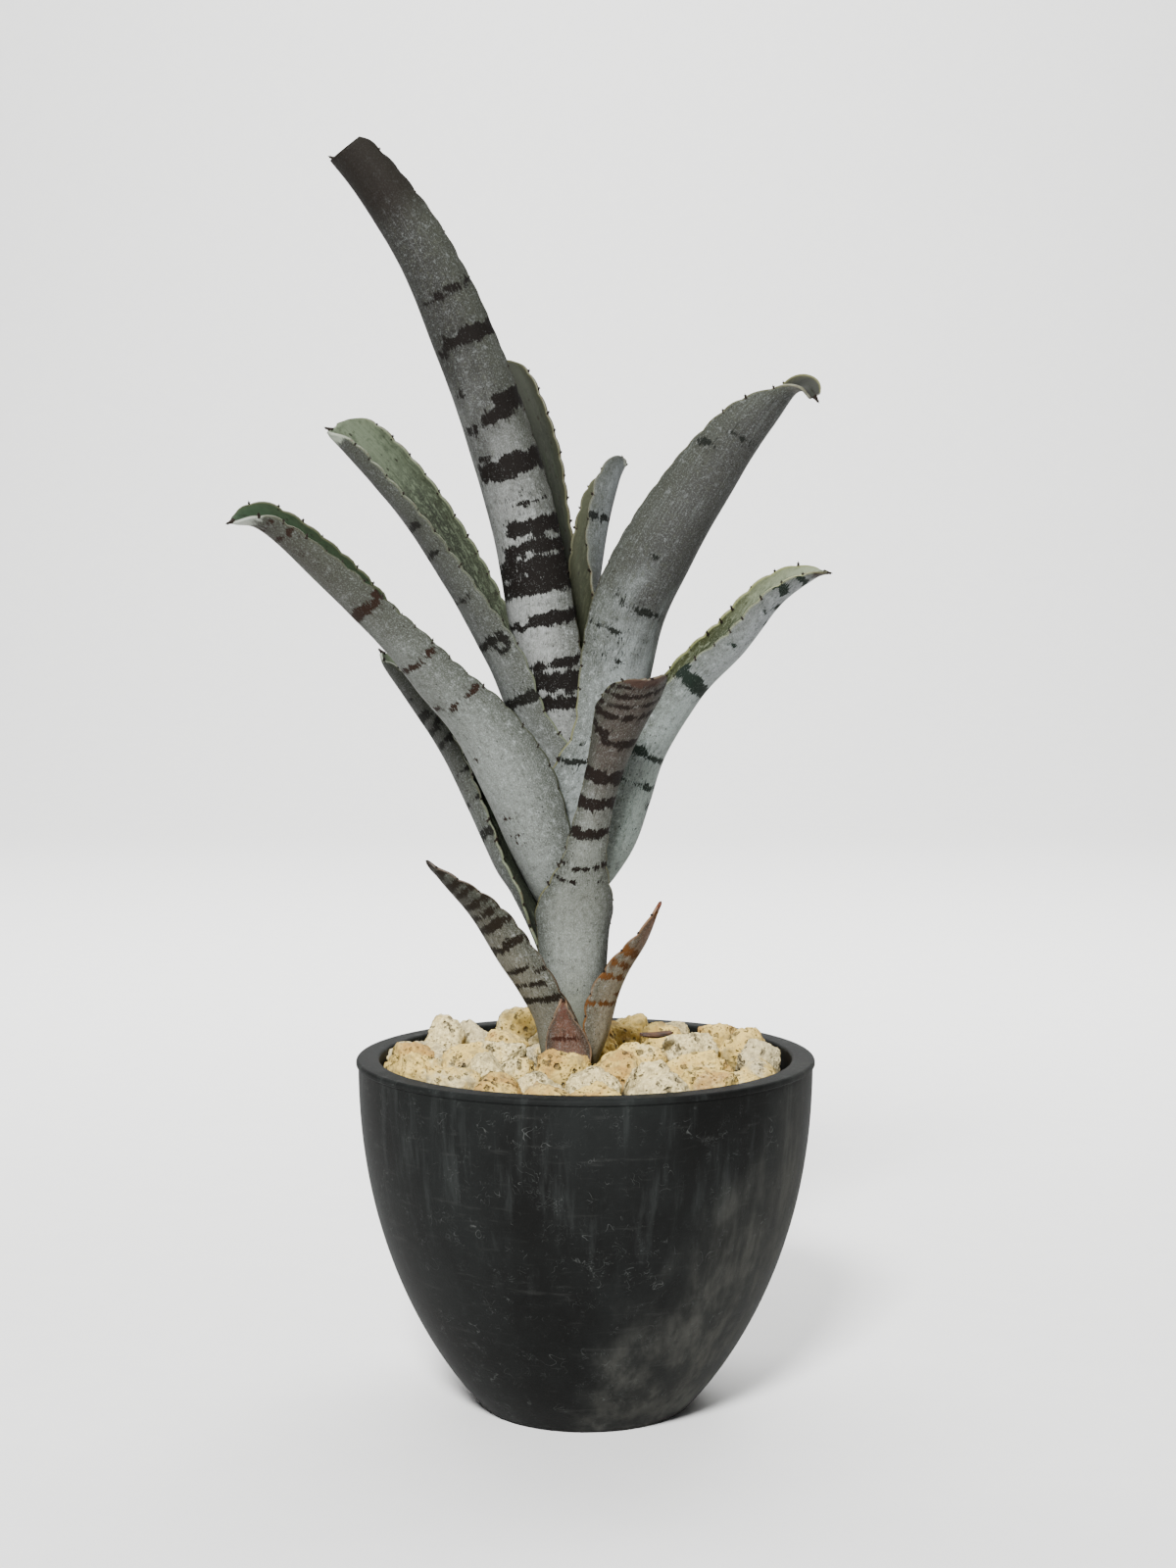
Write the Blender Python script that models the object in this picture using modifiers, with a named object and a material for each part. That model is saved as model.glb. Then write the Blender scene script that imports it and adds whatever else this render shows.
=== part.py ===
"""Potted bromeliad: a tubular, banded bromeliad in a round tapered pot, top-dressed with pumice.

Metres, +Z up. The origin is the middle of the pot's flat underside and the front is -Y.
Leaf stations and the rosette's envelope are given in millimetres above the pot's rim.
"""

import math
import random

import bmesh
import bpy
import numpy as np
from mathutils import Vector

MM = 0.001
FIT_GAP = 0.0003
LEAF_GAP = 0.00065

# Pot: driving sizes.
POT_HEIGHT = 0.115
POT_RIM_RADIUS = 0.075
POT_FOOT_RADIUS = 0.0335
POT_FOOT_EDGE = 0.004
POT_BELLY_POWER = 2.2
POT_BELLY_ROUND = 0.87
POT_RIM_WIDTH = 0.0077
POT_RIM_FLARE = 6
POT_WALL = 0.0055
POT_FLOOR = 0.007
LIP_HEIGHT = 0.0022
LIP_STEP = 0.0007
LIP_ROUND = 0.0008
POT_SIDES = 40
WALL_STEPS = 7
SEAM_MERGE = 0.00001

# Filling.
STONE_LAYER = 0.0165
MIX_DOME = 0.002

# Plant.
PLANT_OFFSET_X = -0.0045
LEAF_THICKNESS = 0.0010
STEM_RADIUS = 0.0058
STEM_TOP_RADIUS = 0.0014
STEM_DEPTH = 0.045
STEM_REACH = 0.078
STEM_SIDES = 14
STEM_STEPS = 6
STEM_POINT = 0.003
SHEATH_FOOT = -0.008
SHEATH_STEP = 0.016
SHEATH_LEAST = 0.004
ROSETTE_HEIGHTS = (-8, -2, 5, 12, 25, 47, 65, 80, 97, 120, 150)
ROSETTE_RADII = (10.8, 11.5, 12.6, 14.2, 16.5, 18.0, 19.7, 22.5, 25.5, 26.7, 26.4)

# Stones: (how many, distance of the ring from the pot's axis).
STONE_RINGS = ((7, 0.0225), (13, 0.0400), (20, 0.0580))
STONE_RADIUS = 0.0115
STONE_BED = (0.62, 0.80)
STONE_NUDGE = 0.0016
STONE_STRETCH = (0.84, 1.12)
STONE_CORE_CLEARANCE = 0.0135
STONE_SEED = 11

# Dry scrap of leaf that lies on the stones.
SCRAP_PLACE = (0.0235, 0.0080)
SCRAP_LENGTH = 0.0115
SCRAP_WIDTH = 0.0062
SCRAP_THICKNESS = 0.0007
SCRAP_CURL = 0.0042
SCRAP_LIFT = 0.0012
SCRAP_TURN = 24

COLLECTION = "potted_bromeliad"


class Leaf:
    """One leaf: where it points, its layer from the outside, its sheath and its blade stations."""

    def __init__(self, name, heading, layer, sheath_top, sheath_wrap, blade, tip, sway=0.0,
                 rows=16, columns=10):
        self.name = name
        self.heading = math.radians(heading)
        self.layer = layer
        self.sheath_top = sheath_top
        self.sheath_wrap = sheath_wrap
        self.blade = blade
        self.tip = tip
        self.sway = sway
        self.rows = rows
        self.columns = columns


# Blade stations run up the leaf's keel, the middle of its outer face: how far it stands out from
# the plant's axis, how high above the pot's rim, the radius that the leaf is rolled to across its
# width, the half angle of that roll and how far the roll is turned round the keel, in degrees.
# tip is the share of the length that is rounded off at the end, the width left at the end, and
# the side (-1 to 1) where the narrowed end lies.
LEAVES = (
    Leaf("leaf_tall", 195, 9, 108, 112,
         ((16, 124, 12.4, 106, 6), (20.3, 140, 12.0, 108, 22), (26, 170, 11.3, 116, 24),
          (34, 198, 11.0, 121, 20), (43, 224, 10.6, 121, 17), (55, 252, 9.8, 117, 16),
          (67, 272, 9.2, 108, 12), (77.6, 285.5, 8.8, 98, 8)),
         (0.020, 0.90, 0.0)),
    Leaf("leaf_right", 332, 7, 72, 106,
         ((13.6, 84, 13.1, 104, 0), (18.2, 95, 15.3, 94, 0), (22.8, 108, 15.1, 84, 0),
          (31, 139, 13.2, 114, -4), (41, 158.6, 12.4, 126, -6), (52.7, 177.5, 11.4, 124, -3),
          (63, 193, 10.2, 114, 0), (72, 205, 8.8, 98, 0),
          (77, 211, 7.2, 86, 8), (80.5, 212.5, 5.6, 70, 16), (82.5, 210, 4.2, 56, 22)),
         (0.12, 0.50, 0.65)),
    Leaf("leaf_left_upper", 190, 8, 94, 98,
         ((19.6, 109, 11.8, 82, 0), (27.5, 128, 11.2, 96, -10), (38.6, 148.5, 10.2, 99, -24),
          (51.4, 169, 9.6, 99, -34), (65, 186, 9.4, 97, -40), (78.6, 201.4, 9.0, 88, -36)),
         (0.06, 0.30, 0.0)),
    Leaf("leaf_left_lower", 208, 5, 46, 96,
         ((14.9, 56, 12.8, 80, 0), (21.8, 69, 13.2, 94, 6), (30.7, 87, 14.6, 98, 8),
          (40, 104, 13.0, 98, 4), (52, 118, 11.2, 100, -4), (65, 132.5, 10.0, 103, -14),
          (87.5, 154, 8.8, 103, -24), (105.5, 169, 7.4, 90, -24), (115, 171.5, 5.2, 62, -12)),
         (0.05, 0.16, 0.0)),
    Leaf("leaf_right_low", 352, 6, 50, 92,
         ((15, 60, 12.6, 72, 0), (21, 70, 13.0, 80, 0), (25.4, 83, 13.0, 92, 0),
          (30.5, 98, 12.2, 98, 2), (42, 117, 9.8, 108, 12), (56, 132, 8.4, 106, 20),
          (67.6, 147, 7.4, 98, 22), (78, 155, 5.8, 78, 18), (82, 157, 4.4, 54, 6)),
         (0.05, 0.16, 0.0)),
    Leaf("leaf_front", 276, 3, 40, 69,
         ((15.4, 49, 13.9, 66, 0), (20.6, 58, 12.6, 48, 0), (25.6, 66, 9.2, 48, 0),
          (29.2, 74, 6.8, 62, 0), (32, 83, 5.8, 72, 0), (35.5, 94, 6.2, 80, 0), (39.5, 105, 7.8, 84, 0),
          (43.5, 113, 9.6, 82, 2), (47, 120, 10.0, 76, 2), (51, 124, 8.8, 60, 0)),
         (0.14, 0.34, 0.25), sway=18.0),
    Leaf("leaf_left_back", 160, 4, 32, 40,
         ((14.5, 42, 12.4, 44, -6), (20, 52, 12.4, 64, -4), (26.4, 61, 11.6, 76, -6),
          (34.8, 79, 10.5, 84, -6), (44.5, 97, 10.0, 90, -2), (57.5, 115, 9.2, 90, -2),
          (66, 126, 7.6, 74, -4), (68, 131, 6.0, 56, -6)),
         (0.08, 0.30, 0.0)),
    Leaf("leaf_back", 105, 10, 120, 84,
         ((11.6, 132, 10.4, 56, -6), (13.8, 148, 10.4, 42, -8), (18.0, 174, 9.8, 42, -8),
          (22.5, 198, 9.4, 54, -12), (29, 220, 8.2, 58, -8), (33, 228, 6.8, 52, -4)),
         (0.06, 0.30, 0.0), sway=16.0),
    Leaf("leaf_back_right", 55, 11, 132, 80,
         ((9.1, 150, 8.2, 72, -20), (12.8, 167, 8.6, 90, -38), (19.8, 185, 8.4, 88, -42),
          (26, 192, 6.2, 66, -36)),
         (0.10, 0.20, 0.0)),
    Leaf("leaf_small_left", 195, 1, 12, 86,
         ((18, 22, 14.0, 74, 2), (24, 31, 13.6, 71, 6), (33, 46, 12.4, 60, 10),
          (43, 57.5, 10.0, 42, 10), (48.5, 64.7, 6.0, 18, 10)),
         (0.08, 0.12, 0.0), rows=10, columns=8),
    Leaf("leaf_small_right", 345, 2, -3, 70,
         ((11.6, 5, 9.6, 62, 0), (13.4, 12, 11.4, 64, 0), (15.4, 20, 12.4, 64, 0),
          (19, 28, 12.0, 58, 0), (25.5, 39, 10.4, 44, 0), (30, 50.8, 6.0, 18, 0)),
         (0.08, 0.12, 0.0), rows=9, columns=8),
    Leaf("leaf_scale_front", 264, 0, 3, 38,
         ((13.8, 8, 12.0, 33, -2), (15.0, 14, 10.0, 22, -6), (16.4, 20.5, 6.0, 9, -10)),
         (0.25, 0.15, 0.0), rows=8, columns=6),
)

PLAIN_LOOKS = {
    "pot": ((0.020, 0.022, 0.023, 1.0), 0.62),
    "potting_mix": ((0.050, 0.032, 0.020, 1.0), 0.95),
    "stem": ((0.300, 0.330, 0.200, 1.0), 0.60),
    "leaf": ((0.430, 0.470, 0.450, 1.0), 0.55),
    "small_leaf": ((0.340, 0.310, 0.230, 1.0), 0.60),
    "pumice": ((0.620, 0.560, 0.430, 1.0), 0.90),
    "scrap": ((0.160, 0.070, 0.030, 1.0), 0.80),
}


def clear_scene():
    """Remove whatever the file opened with."""
    for item in list(bpy.data.objects):
        bpy.data.objects.remove(item, do_unlink=True)


def plain_material(name, look):
    """One Principled material with the piece's colour and roughness."""
    colour, roughness = PLAIN_LOOKS[look]
    material = bpy.data.materials.new(name)
    material.use_nodes = True
    shader = material.node_tree.nodes["Principled BSDF"]
    shader.inputs["Base Color"].default_value = colour
    shader.inputs["Roughness"].default_value = roughness
    shader.inputs["Metallic"].default_value = 0.0
    material.diffuse_color = colour
    return material


def add_object(name, mesh, look, collection):
    """Put a mesh into the collection as a named object with its own material."""
    piece = bpy.data.objects.new(name, mesh)
    collection.objects.link(piece)
    mesh.materials.append(plain_material(name, look))
    return piece


def mesh_from(bm, name, smooth_angle=None):
    """Write a bmesh to a new mesh, shaded smooth below an angle if one is given."""
    mesh = bpy.data.meshes.new(name)
    bm.to_mesh(mesh)
    bm.free()
    if smooth_angle is not None:
        mesh.shade_smooth()
        mesh.set_sharp_from_angle(angle=math.radians(smooth_angle))
    return mesh


def turned(name, profile, look, collection, sides=POT_SIDES):
    """Turn a closed or axis-to-axis profile of (radius, height) about Z with a Screw modifier."""
    closed = profile[0][0] > 0.0
    bm = bmesh.new()
    verts = [bm.verts.new((radius, 0.0, height)) for radius, height in profile]
    for lower, upper in zip(verts, verts[1:]):
        bm.edges.new((lower, upper))
    if closed:
        bm.edges.new((verts[-1], verts[0]))
    piece = add_object(name, mesh_from(bm, name), look, collection)
    screw = piece.modifiers.new("turn", "SCREW")
    screw.steps = sides
    screw.render_steps = sides
    screw.use_merge_vertices = True
    screw.merge_threshold = SEAM_MERGE
    screw.use_smooth_shade = True
    return piece


def wall_radius(height):
    """Outer radius of the pot's tapered wall at a height above its underside."""
    rise = min(max(height / POT_HEIGHT, 0.0), 1.0)
    swell = (1.0 - (1.0 - rise) ** POT_BELLY_POWER) ** POT_BELLY_ROUND
    wall_top = POT_RIM_RADIUS - LIP_STEP
    return POT_FOOT_RADIUS + (wall_top - POT_FOOT_RADIUS) * swell


def inner_radius(height):
    """Inner radius of the pot at a height, thickening to the rim's width at the top."""
    rise = min(max(height / POT_HEIGHT, 0.0), 1.0)
    wall = POT_WALL + (POT_RIM_WIDTH - LIP_STEP - POT_WALL) * rise ** POT_RIM_FLARE
    return wall_radius(height) - wall


def inner_wall():
    """Points (radius, height) of the pot's inner wall, from its floor up to the rim."""
    points = [(inner_radius(POT_FLOOR) - POT_FLOOR * 0.5, POT_FLOOR)]
    for step in range(1, WALL_STEPS + 1):
        height = POT_FLOOR + (POT_HEIGHT - LIP_ROUND - POT_FLOOR) * step / WALL_STEPS
        points.append((inner_radius(height), height))
    return points


def bore_radius(height):
    """Clear radius inside the pot as it is really faceted, less the fitting gap."""
    radii, heights = zip(*inner_wall())
    return float(np.interp(height, heights, radii)) - FIT_GAP


def arc(centre, radius, start, end, steps):
    """Points on an arc in the profile plane, angles in degrees from +radius towards +height."""
    angles = [math.radians(start + (end - start) * step / steps) for step in range(steps + 1)]
    return [(centre[0] + radius * math.cos(a), centre[1] + radius * math.sin(a)) for a in angles]


def pot_profile():
    """Profile of the pot, from the inner floor's middle, over the lip, to the underside's middle."""
    lip_base = POT_HEIGHT - LIP_HEIGHT
    lip_radius = POT_RIM_RADIUS - LIP_ROUND
    points = arc((lip_radius, POT_HEIGHT - LIP_ROUND), LIP_ROUND, 90, 0, 3)
    points.append((POT_RIM_RADIUS, lip_base + LIP_STEP * 0.5))
    for step in range(WALL_STEPS + 1):
        height = lip_base + (POT_FOOT_EDGE - lip_base) * step / WALL_STEPS
        points.append((wall_radius(height), height))
    foot_flat = POT_FOOT_RADIUS - POT_FOOT_EDGE * 0.3
    points.append((wall_radius(POT_FOOT_EDGE * 0.35), POT_FOOT_EDGE * 0.25))
    points.append((foot_flat, 0.0))
    points.append((0.0, 0.0))
    inside = [(0.0, POT_FLOOR)] + inner_wall()
    inside.append((inner_radius(POT_HEIGHT) + LIP_ROUND, POT_HEIGHT))
    return inside + points


def build_pot(collection):
    """The pot: one turned shell with a flat underside."""
    return turned("pot", pot_profile(), "pot", collection)


def stem_radius(rise):
    """Radius of the stock at a height above the rim, tapering through the rosette."""
    if rise <= 0.0:
        return STEM_RADIUS
    share = min(rise / STEM_REACH, 1.0)
    return STEM_RADIUS + (STEM_TOP_RADIUS - STEM_RADIUS) * share


def mix_height():
    """Height of the potting mix's surface, one layer of stones below the rim."""
    return POT_HEIGHT - STONE_LAYER


def build_mix(collection):
    """Potting mix: fills the pot below the stones, with a socket for the stock."""
    socket = STEM_RADIUS + FIT_GAP
    top = mix_height()
    floor = POT_FLOOR + FIT_GAP
    stem_foot = POT_HEIGHT - STEM_DEPTH - FIT_GAP
    outline = [(0.0, top + MIX_DOME)]
    edge = bore_radius(top)
    outline.append((edge * 0.6, top + MIX_DOME * 0.7))
    outline.append((edge, top))
    for _, height in reversed(inner_wall()[1:]):
        if height < top:
            outline.append((bore_radius(height), height))
    outline.append((bore_radius(floor) - FIT_GAP, floor))
    outline.append((0.0, floor))
    mix = turned("potting_mix", outline, "potting_mix", collection)
    cutters = bpy.data.collections["cutters"]
    bm = bmesh.new()
    length = top + MIX_DOME * 2.0 - stem_foot
    bmesh.ops.create_cone(bm, cap_ends=True, segments=STEM_SIDES * 2, radius1=socket, radius2=socket,
                          depth=length)
    bmesh.ops.translate(bm, verts=bm.verts, vec=(PLANT_OFFSET_X, 0.0, stem_foot + length * 0.5))
    cutter = bpy.data.objects.new("stem_socket_cutter", mesh_from(bm, "stem_socket_cutter"))
    cutters.objects.link(cutter)
    cutter.hide_render = True
    cutter.display_type = "WIRE"
    cut = mix.modifiers.new("stem_socket", "BOOLEAN")
    cut.operation = "DIFFERENCE"
    cut.object = cutter
    return mix


def build_stem(collection):
    """The stock: a tapered rod from the potting mix up into the rosette."""
    foot = POT_HEIGHT - STEM_DEPTH
    profile = [(0.0, POT_HEIGHT + STEM_REACH)]
    for step in range(STEM_STEPS, -1, -1):
        rise = STEM_REACH * step / STEM_STEPS
        profile.append((stem_radius(rise), POT_HEIGHT + rise))
    profile.append((STEM_RADIUS, foot + STEM_POINT))
    profile.append((STEM_RADIUS * 0.6, foot))
    profile.append((0.0, foot))
    stem = turned("stem", profile, "stem", collection, sides=STEM_SIDES)
    stem.location.x = PLANT_OFFSET_X
    return stem


def smooth_curve(stations, fine=12):
    """Points of a smooth curve that passes through every station."""
    padded = np.vstack((2 * stations[0] - stations[1], stations, 2 * stations[-1] - stations[-2]))
    points = []
    for index in range(len(stations) - 1):
        before, start, end, after = padded[index:index + 4]
        for step in range(fine):
            t = step / fine
            points.append(0.5 * (2 * start + (end - before) * t
                                 + (2 * before - 5 * start + 4 * end - after) * t ** 2
                                 + (3 * start - before - 3 * end + after) * t ** 3))
    points.append(stations[-1])
    return np.array(points)


def layer_radius(layer, height):
    """Outer radius of one sheath layer at a height above the rim, both in metres."""
    curve = smooth_curve(np.column_stack((ROSETTE_HEIGHTS, ROSETTE_RADII)) * MM)
    return np.interp(height, curve[:, 0], curve[:, 1]) - layer * (LEAF_THICKNESS + LEAF_GAP)


def sheath_base(leaf):
    """Lowest height at which the leaf's layer clears the stock, found by walking up it."""
    height = SHEATH_FOOT
    while layer_radius(leaf.layer, height) - LEAF_THICKNESS < stem_radius(height) + FIT_GAP:
        height += 0.0005
    return height


def leaf_stations(leaf):
    """Stations (out, up, roll radius, half angle, turn) of the whole leaf, sheath then blade."""
    base = sheath_base(leaf)
    top = max(leaf.sheath_top * MM, base + SHEATH_LEAST)
    wrap = math.radians(leaf.sheath_wrap)
    stations = []
    steps = max(2, round((top - base) / SHEATH_STEP))
    for step in range(steps + 1):
        height = base + (top - base) * step / steps
        radius = layer_radius(leaf.layer, height)
        stations.append((radius, height, radius, wrap, 0.0))
    for out, up, roll, half, turn in leaf.blade:
        stations.append((out * MM, up * MM, roll * MM, math.radians(half), math.radians(turn)))
    return np.array(stations)


def leaf_rows(leaf, count):
    """Rows up the leaf, closer where its stations are closer, with tangents and share of length."""
    curve = smooth_curve(leaf_stations(leaf))
    steps = np.hypot(np.diff(curve[:, 0]), np.diff(curve[:, 1]))
    run = np.concatenate(([0.0], np.cumsum(steps)))
    slopes = np.gradient(curve[:, :2], axis=0)
    slopes /= np.linalg.norm(slopes, axis=1)[:, None]
    fine = np.column_stack((curve, slopes, run / run[-1]))
    places = np.linspace(0.0, len(fine) - 1.0, count)
    indices = np.arange(len(fine))
    return np.column_stack([np.interp(places, indices, fine[:, axis]) for axis in range(fine.shape[1])])


def tip_share(leaf, along):
    """Share of the full width that is left at a place along the leaf, 1 until the tip's start."""
    length, left, _ = leaf.tip
    beyond = max(0.0, (along - (1.0 - length)) / length)
    return left + (1.0 - left) * math.sqrt(max(0.0, 1.0 - beyond ** 2))


def leaf_point(leaf, row, across):
    """Point of the leaf's outer face in a row and at a place across it (-1 to 1)."""
    out, up, roll, half, turn, slope_out, slope_up, along = row
    outward = Vector((math.cos(leaf.heading), math.sin(leaf.heading), 0.0))
    sideways = Vector((-math.sin(leaf.heading), math.cos(leaf.heading), 0.0))
    upward = Vector((0.0, 0.0, 1.0))
    # A sheath is cut level, round the stock; a section tips square to the keel as the blade leaves.
    freed = min(1.0, max(0.0, (out - roll) / roll))
    normal = (outward * slope_up - upward * slope_out * freed).normalized()
    start = leaf.sheath_top * MM
    risen = max(0.0, (up - start) / (leaf.blade[-1][1] * MM - start))
    keel = outward * out + upward * up + sideways * (leaf.sway * MM * risen ** 2)
    share = tip_share(leaf, along)
    angle = turn + half * (across * share + leaf.tip[2] * (1.0 - share))
    centre = keel - normal * roll
    return centre + normal * (roll * math.cos(angle)) + sideways * (roll * math.sin(angle))


def build_leaf(leaf, look, collection):
    """A leaf: a grid bent along its keel and rolled across it, with Solidify for its thickness."""
    rows = leaf_rows(leaf, leaf.rows + 1)
    bm = bmesh.new()
    bmesh.ops.create_grid(bm, x_segments=leaf.rows, y_segments=leaf.columns, size=1.0)
    for vert in bm.verts:
        row = rows[round((vert.co.x + 1.0) * 0.5 * leaf.rows)]
        vert.co = leaf_point(leaf, row, -vert.co.y)
    piece = add_object(leaf.name, mesh_from(bm, leaf.name, 60), look, collection)
    piece.location = (PLANT_OFFSET_X, 0.0, POT_HEIGHT)
    shell = piece.modifiers.new("thickness", "SOLIDIFY")
    shell.thickness = LEAF_THICKNESS
    shell.offset = -1.0
    return piece


def stone_centres(rng):
    """Centres of the stones in rings, each nudged by a seeded draw."""
    centres = []
    for count, distance in STONE_RINGS:
        start = rng.uniform(0.0, 2.0 * math.pi)
        for index in range(count):
            angle = start + 2.0 * math.pi * (index + rng.uniform(-0.16, 0.16)) / count
            reach = distance + rng.uniform(-STONE_NUDGE, STONE_NUDGE)
            rise = mix_height() + MIX_DOME + STONE_RADIUS * rng.uniform(*STONE_BED)
            inner_ring = distance == STONE_RINGS[0][1]
            shift = PLANT_OFFSET_X if inner_ring else 0.0
            centres.append(Vector((reach * math.cos(angle) + shift, reach * math.sin(angle), rise)))
    return centres


def stone_limits(index, centres):
    """Planes (outward unit normal, distance from the centre) that a stone may not cross."""
    centre = centres[index]
    planes = []
    for other_index, other in enumerate(centres):
        if other_index == index:
            continue
        apart = other - centre
        if apart.length < 4.0 * STONE_RADIUS:
            planes.append((apart.normalized(), apart.length * 0.5 - FIT_GAP * 0.5))
    planes.append((Vector((0.0, 0.0, -1.0)), centre.z - mix_height() - MIX_DOME - FIT_GAP))
    core = Vector((PLANT_OFFSET_X - centre.x, -centre.y, 0.0))
    planes.append((core.normalized(), core.length - STONE_CORE_CLEARANCE))
    return planes


def build_stone(name, index, centres, rng, collection):
    """A pumice stone: a sphere stretched by a seeded draw and kept inside its own cell."""
    centre = centres[index]
    planes = stone_limits(index, centres)
    stretch = Vector([rng.uniform(*STONE_STRETCH) for _ in range(3)])
    bump = [Vector([rng.gauss(0.0, 1.0) for _ in range(3)]).normalized() for _ in range(4)]
    bm = bmesh.new()
    bmesh.ops.create_icosphere(bm, subdivisions=2, radius=1.0)
    wall = bore_radius(mix_height()) - FIT_GAP
    for vert in bm.verts:
        direction = vert.co.normalized()
        swell = 1.0 + 0.10 * sum(math.cos(2.6 * direction.dot(axis)) - 0.5 for axis in bump)
        reach = STONE_RADIUS * swell
        shape = Vector((direction.x * stretch.x, direction.y * stretch.y, direction.z * stretch.z))
        reach *= shape.length
        for normal, distance in planes:
            slope = normal.dot(direction)
            if slope > 1e-6:
                reach = min(reach, distance / slope)
        while math.hypot(centre.x + direction.x * reach, centre.y + direction.y * reach) > wall:
            reach *= 0.985
        vert.co = direction * reach
    piece = add_object(name, mesh_from(bm, name, 40), "pumice", collection)
    piece.location = centre
    return piece


def build_scrap(stones, collection):
    """A dry scrap of leaf, curled across its width, lying on the tops of the stones below it."""
    bm = bmesh.new()
    bmesh.ops.create_grid(bm, x_segments=6, y_segments=5, size=1.0)
    for vert in bm.verts:
        along, across = vert.co.x, vert.co.y
        taper = 1.0 - 0.55 * abs(along) ** 3
        angle = across * taper * SCRAP_WIDTH * 0.5 / SCRAP_CURL
        lift = SCRAP_CURL * (1.0 - math.cos(angle)) + SCRAP_LIFT * along ** 2
        vert.co = (along * SCRAP_LENGTH * 0.5, SCRAP_CURL * math.sin(angle), lift)
    reach = SCRAP_LENGTH * 0.5 + 0.002
    spot = Vector((SCRAP_PLACE[0], SCRAP_PLACE[1], 0.0))
    tops = [POT_HEIGHT - LIP_HEIGHT]
    for stone in stones:
        for vert in stone.data.vertices:
            place = vert.co + stone.location
            if math.hypot(place.x - spot.x, place.y - spot.y) < reach:
                tops.append(place.z)
    piece = add_object("dry_leaf_scrap", mesh_from(bm, "dry_leaf_scrap", 60), "scrap", collection)
    piece.location = (spot.x, spot.y, max(tops) + FIT_GAP)
    piece.rotation_euler = (0.0, 0.0, math.radians(SCRAP_TURN))
    shell = piece.modifiers.new("thickness", "SOLIDIFY")
    shell.thickness = SCRAP_THICKNESS
    shell.offset = 1.0
    return piece


def main():
    """Build every piece."""
    clear_scene()
    collection = bpy.data.collections.new(COLLECTION)
    cutters = bpy.data.collections.new("cutters")
    bpy.context.scene.collection.children.link(collection)
    bpy.context.scene.collection.children.link(cutters)
    build_pot(collection)
    build_mix(collection)
    build_stem(collection)
    for leaf in LEAVES:
        look = "small_leaf" if leaf.layer < 3 else "leaf"
        build_leaf(leaf, look, collection)
    rng = random.Random(STONE_SEED)
    centres = stone_centres(rng)
    stones = []
    for index in range(len(centres)):
        stones.append(build_stone(f"pumice_{index + 1:02d}", index, centres, rng, collection))
    build_scrap(stones, collection)


main()
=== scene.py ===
"""A potted bromeliad: banded tubular leaves in a tapered black pot dressed with pumice."""
import math
import random

import bmesh
import bpy
import numpy as np
from mathutils import Matrix, Vector, noise


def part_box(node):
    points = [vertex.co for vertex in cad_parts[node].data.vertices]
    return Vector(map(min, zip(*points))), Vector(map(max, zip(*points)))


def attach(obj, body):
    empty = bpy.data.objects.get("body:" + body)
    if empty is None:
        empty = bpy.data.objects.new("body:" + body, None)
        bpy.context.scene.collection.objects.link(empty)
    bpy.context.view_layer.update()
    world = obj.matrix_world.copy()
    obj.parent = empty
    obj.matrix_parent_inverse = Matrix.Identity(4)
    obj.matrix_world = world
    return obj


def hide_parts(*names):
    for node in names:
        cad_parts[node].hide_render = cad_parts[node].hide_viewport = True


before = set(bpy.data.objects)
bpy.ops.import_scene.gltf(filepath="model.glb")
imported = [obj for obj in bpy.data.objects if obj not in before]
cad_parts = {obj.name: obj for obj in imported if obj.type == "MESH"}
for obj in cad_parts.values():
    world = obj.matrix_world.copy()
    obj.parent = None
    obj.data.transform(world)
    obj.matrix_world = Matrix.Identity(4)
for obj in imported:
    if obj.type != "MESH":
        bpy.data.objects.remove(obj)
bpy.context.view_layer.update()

# ---------------------------------------------------------------------------------------------
# The pot: a round tapered pot of matt black composite, turned in one piece with a small lip.
# It has a flat foot, a belly that swells towards the rim, and a wall that thickens at the top.
# Years of handling left it dusty, with short pale scuffs and greyer patches low on one side.

MM = 0.001
POT_HIGH = Vector(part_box("pot")[1])
POT_HEIGHT = POT_HIGH.z
POT_RIM_RADIUS = POT_HIGH.x
POT_FOOT_RADIUS = 33.5 * MM
POT_FOOT_EDGE = 4.0 * MM
POT_BELLY_POWER = 2.2
POT_BELLY_ROUND = 0.87
POT_RIM_WIDTH = 7.7 * MM
POT_RIM_FLARE = 6
POT_WALL = 5.5 * MM
POT_FLOOR = 7.0 * MM
LIP_HEIGHT = 2.2 * MM
LIP_STEP = 0.7 * MM
LIP_ROUND = 1.1 * MM
LIP_DRAFT = 0.05 * MM
LIP_TURN = 0.6
LIP_TUCK = 0.2
FLOOR_CORNER = 0.5
FOOT_ROUND = ((0.55, 0.50), (0.30, 0.18))  # shares of the foot's edge: wall's height, own height
FOOT_BEVEL = 0.3
WALL_STEPS = 36
POT_SIDES = 176
POT_EDGE_ANGLE = 35
BLACK_DEEP = (0.0018, 0.0020, 0.0017)
BLACK_WORN = (0.0062, 0.0072, 0.0068)
STREAK_GREY = (0.024, 0.027, 0.026)
SMEAR_GREY = (0.026, 0.027, 0.025)
DUST_GREY = (0.045, 0.045, 0.040)
SCUFF_GREY = (0.055, 0.060, 0.057)
SCUFF_PALE = (0.070, 0.074, 0.070)
SPECK_PALE = (0.06, 0.06, 0.055)


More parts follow.
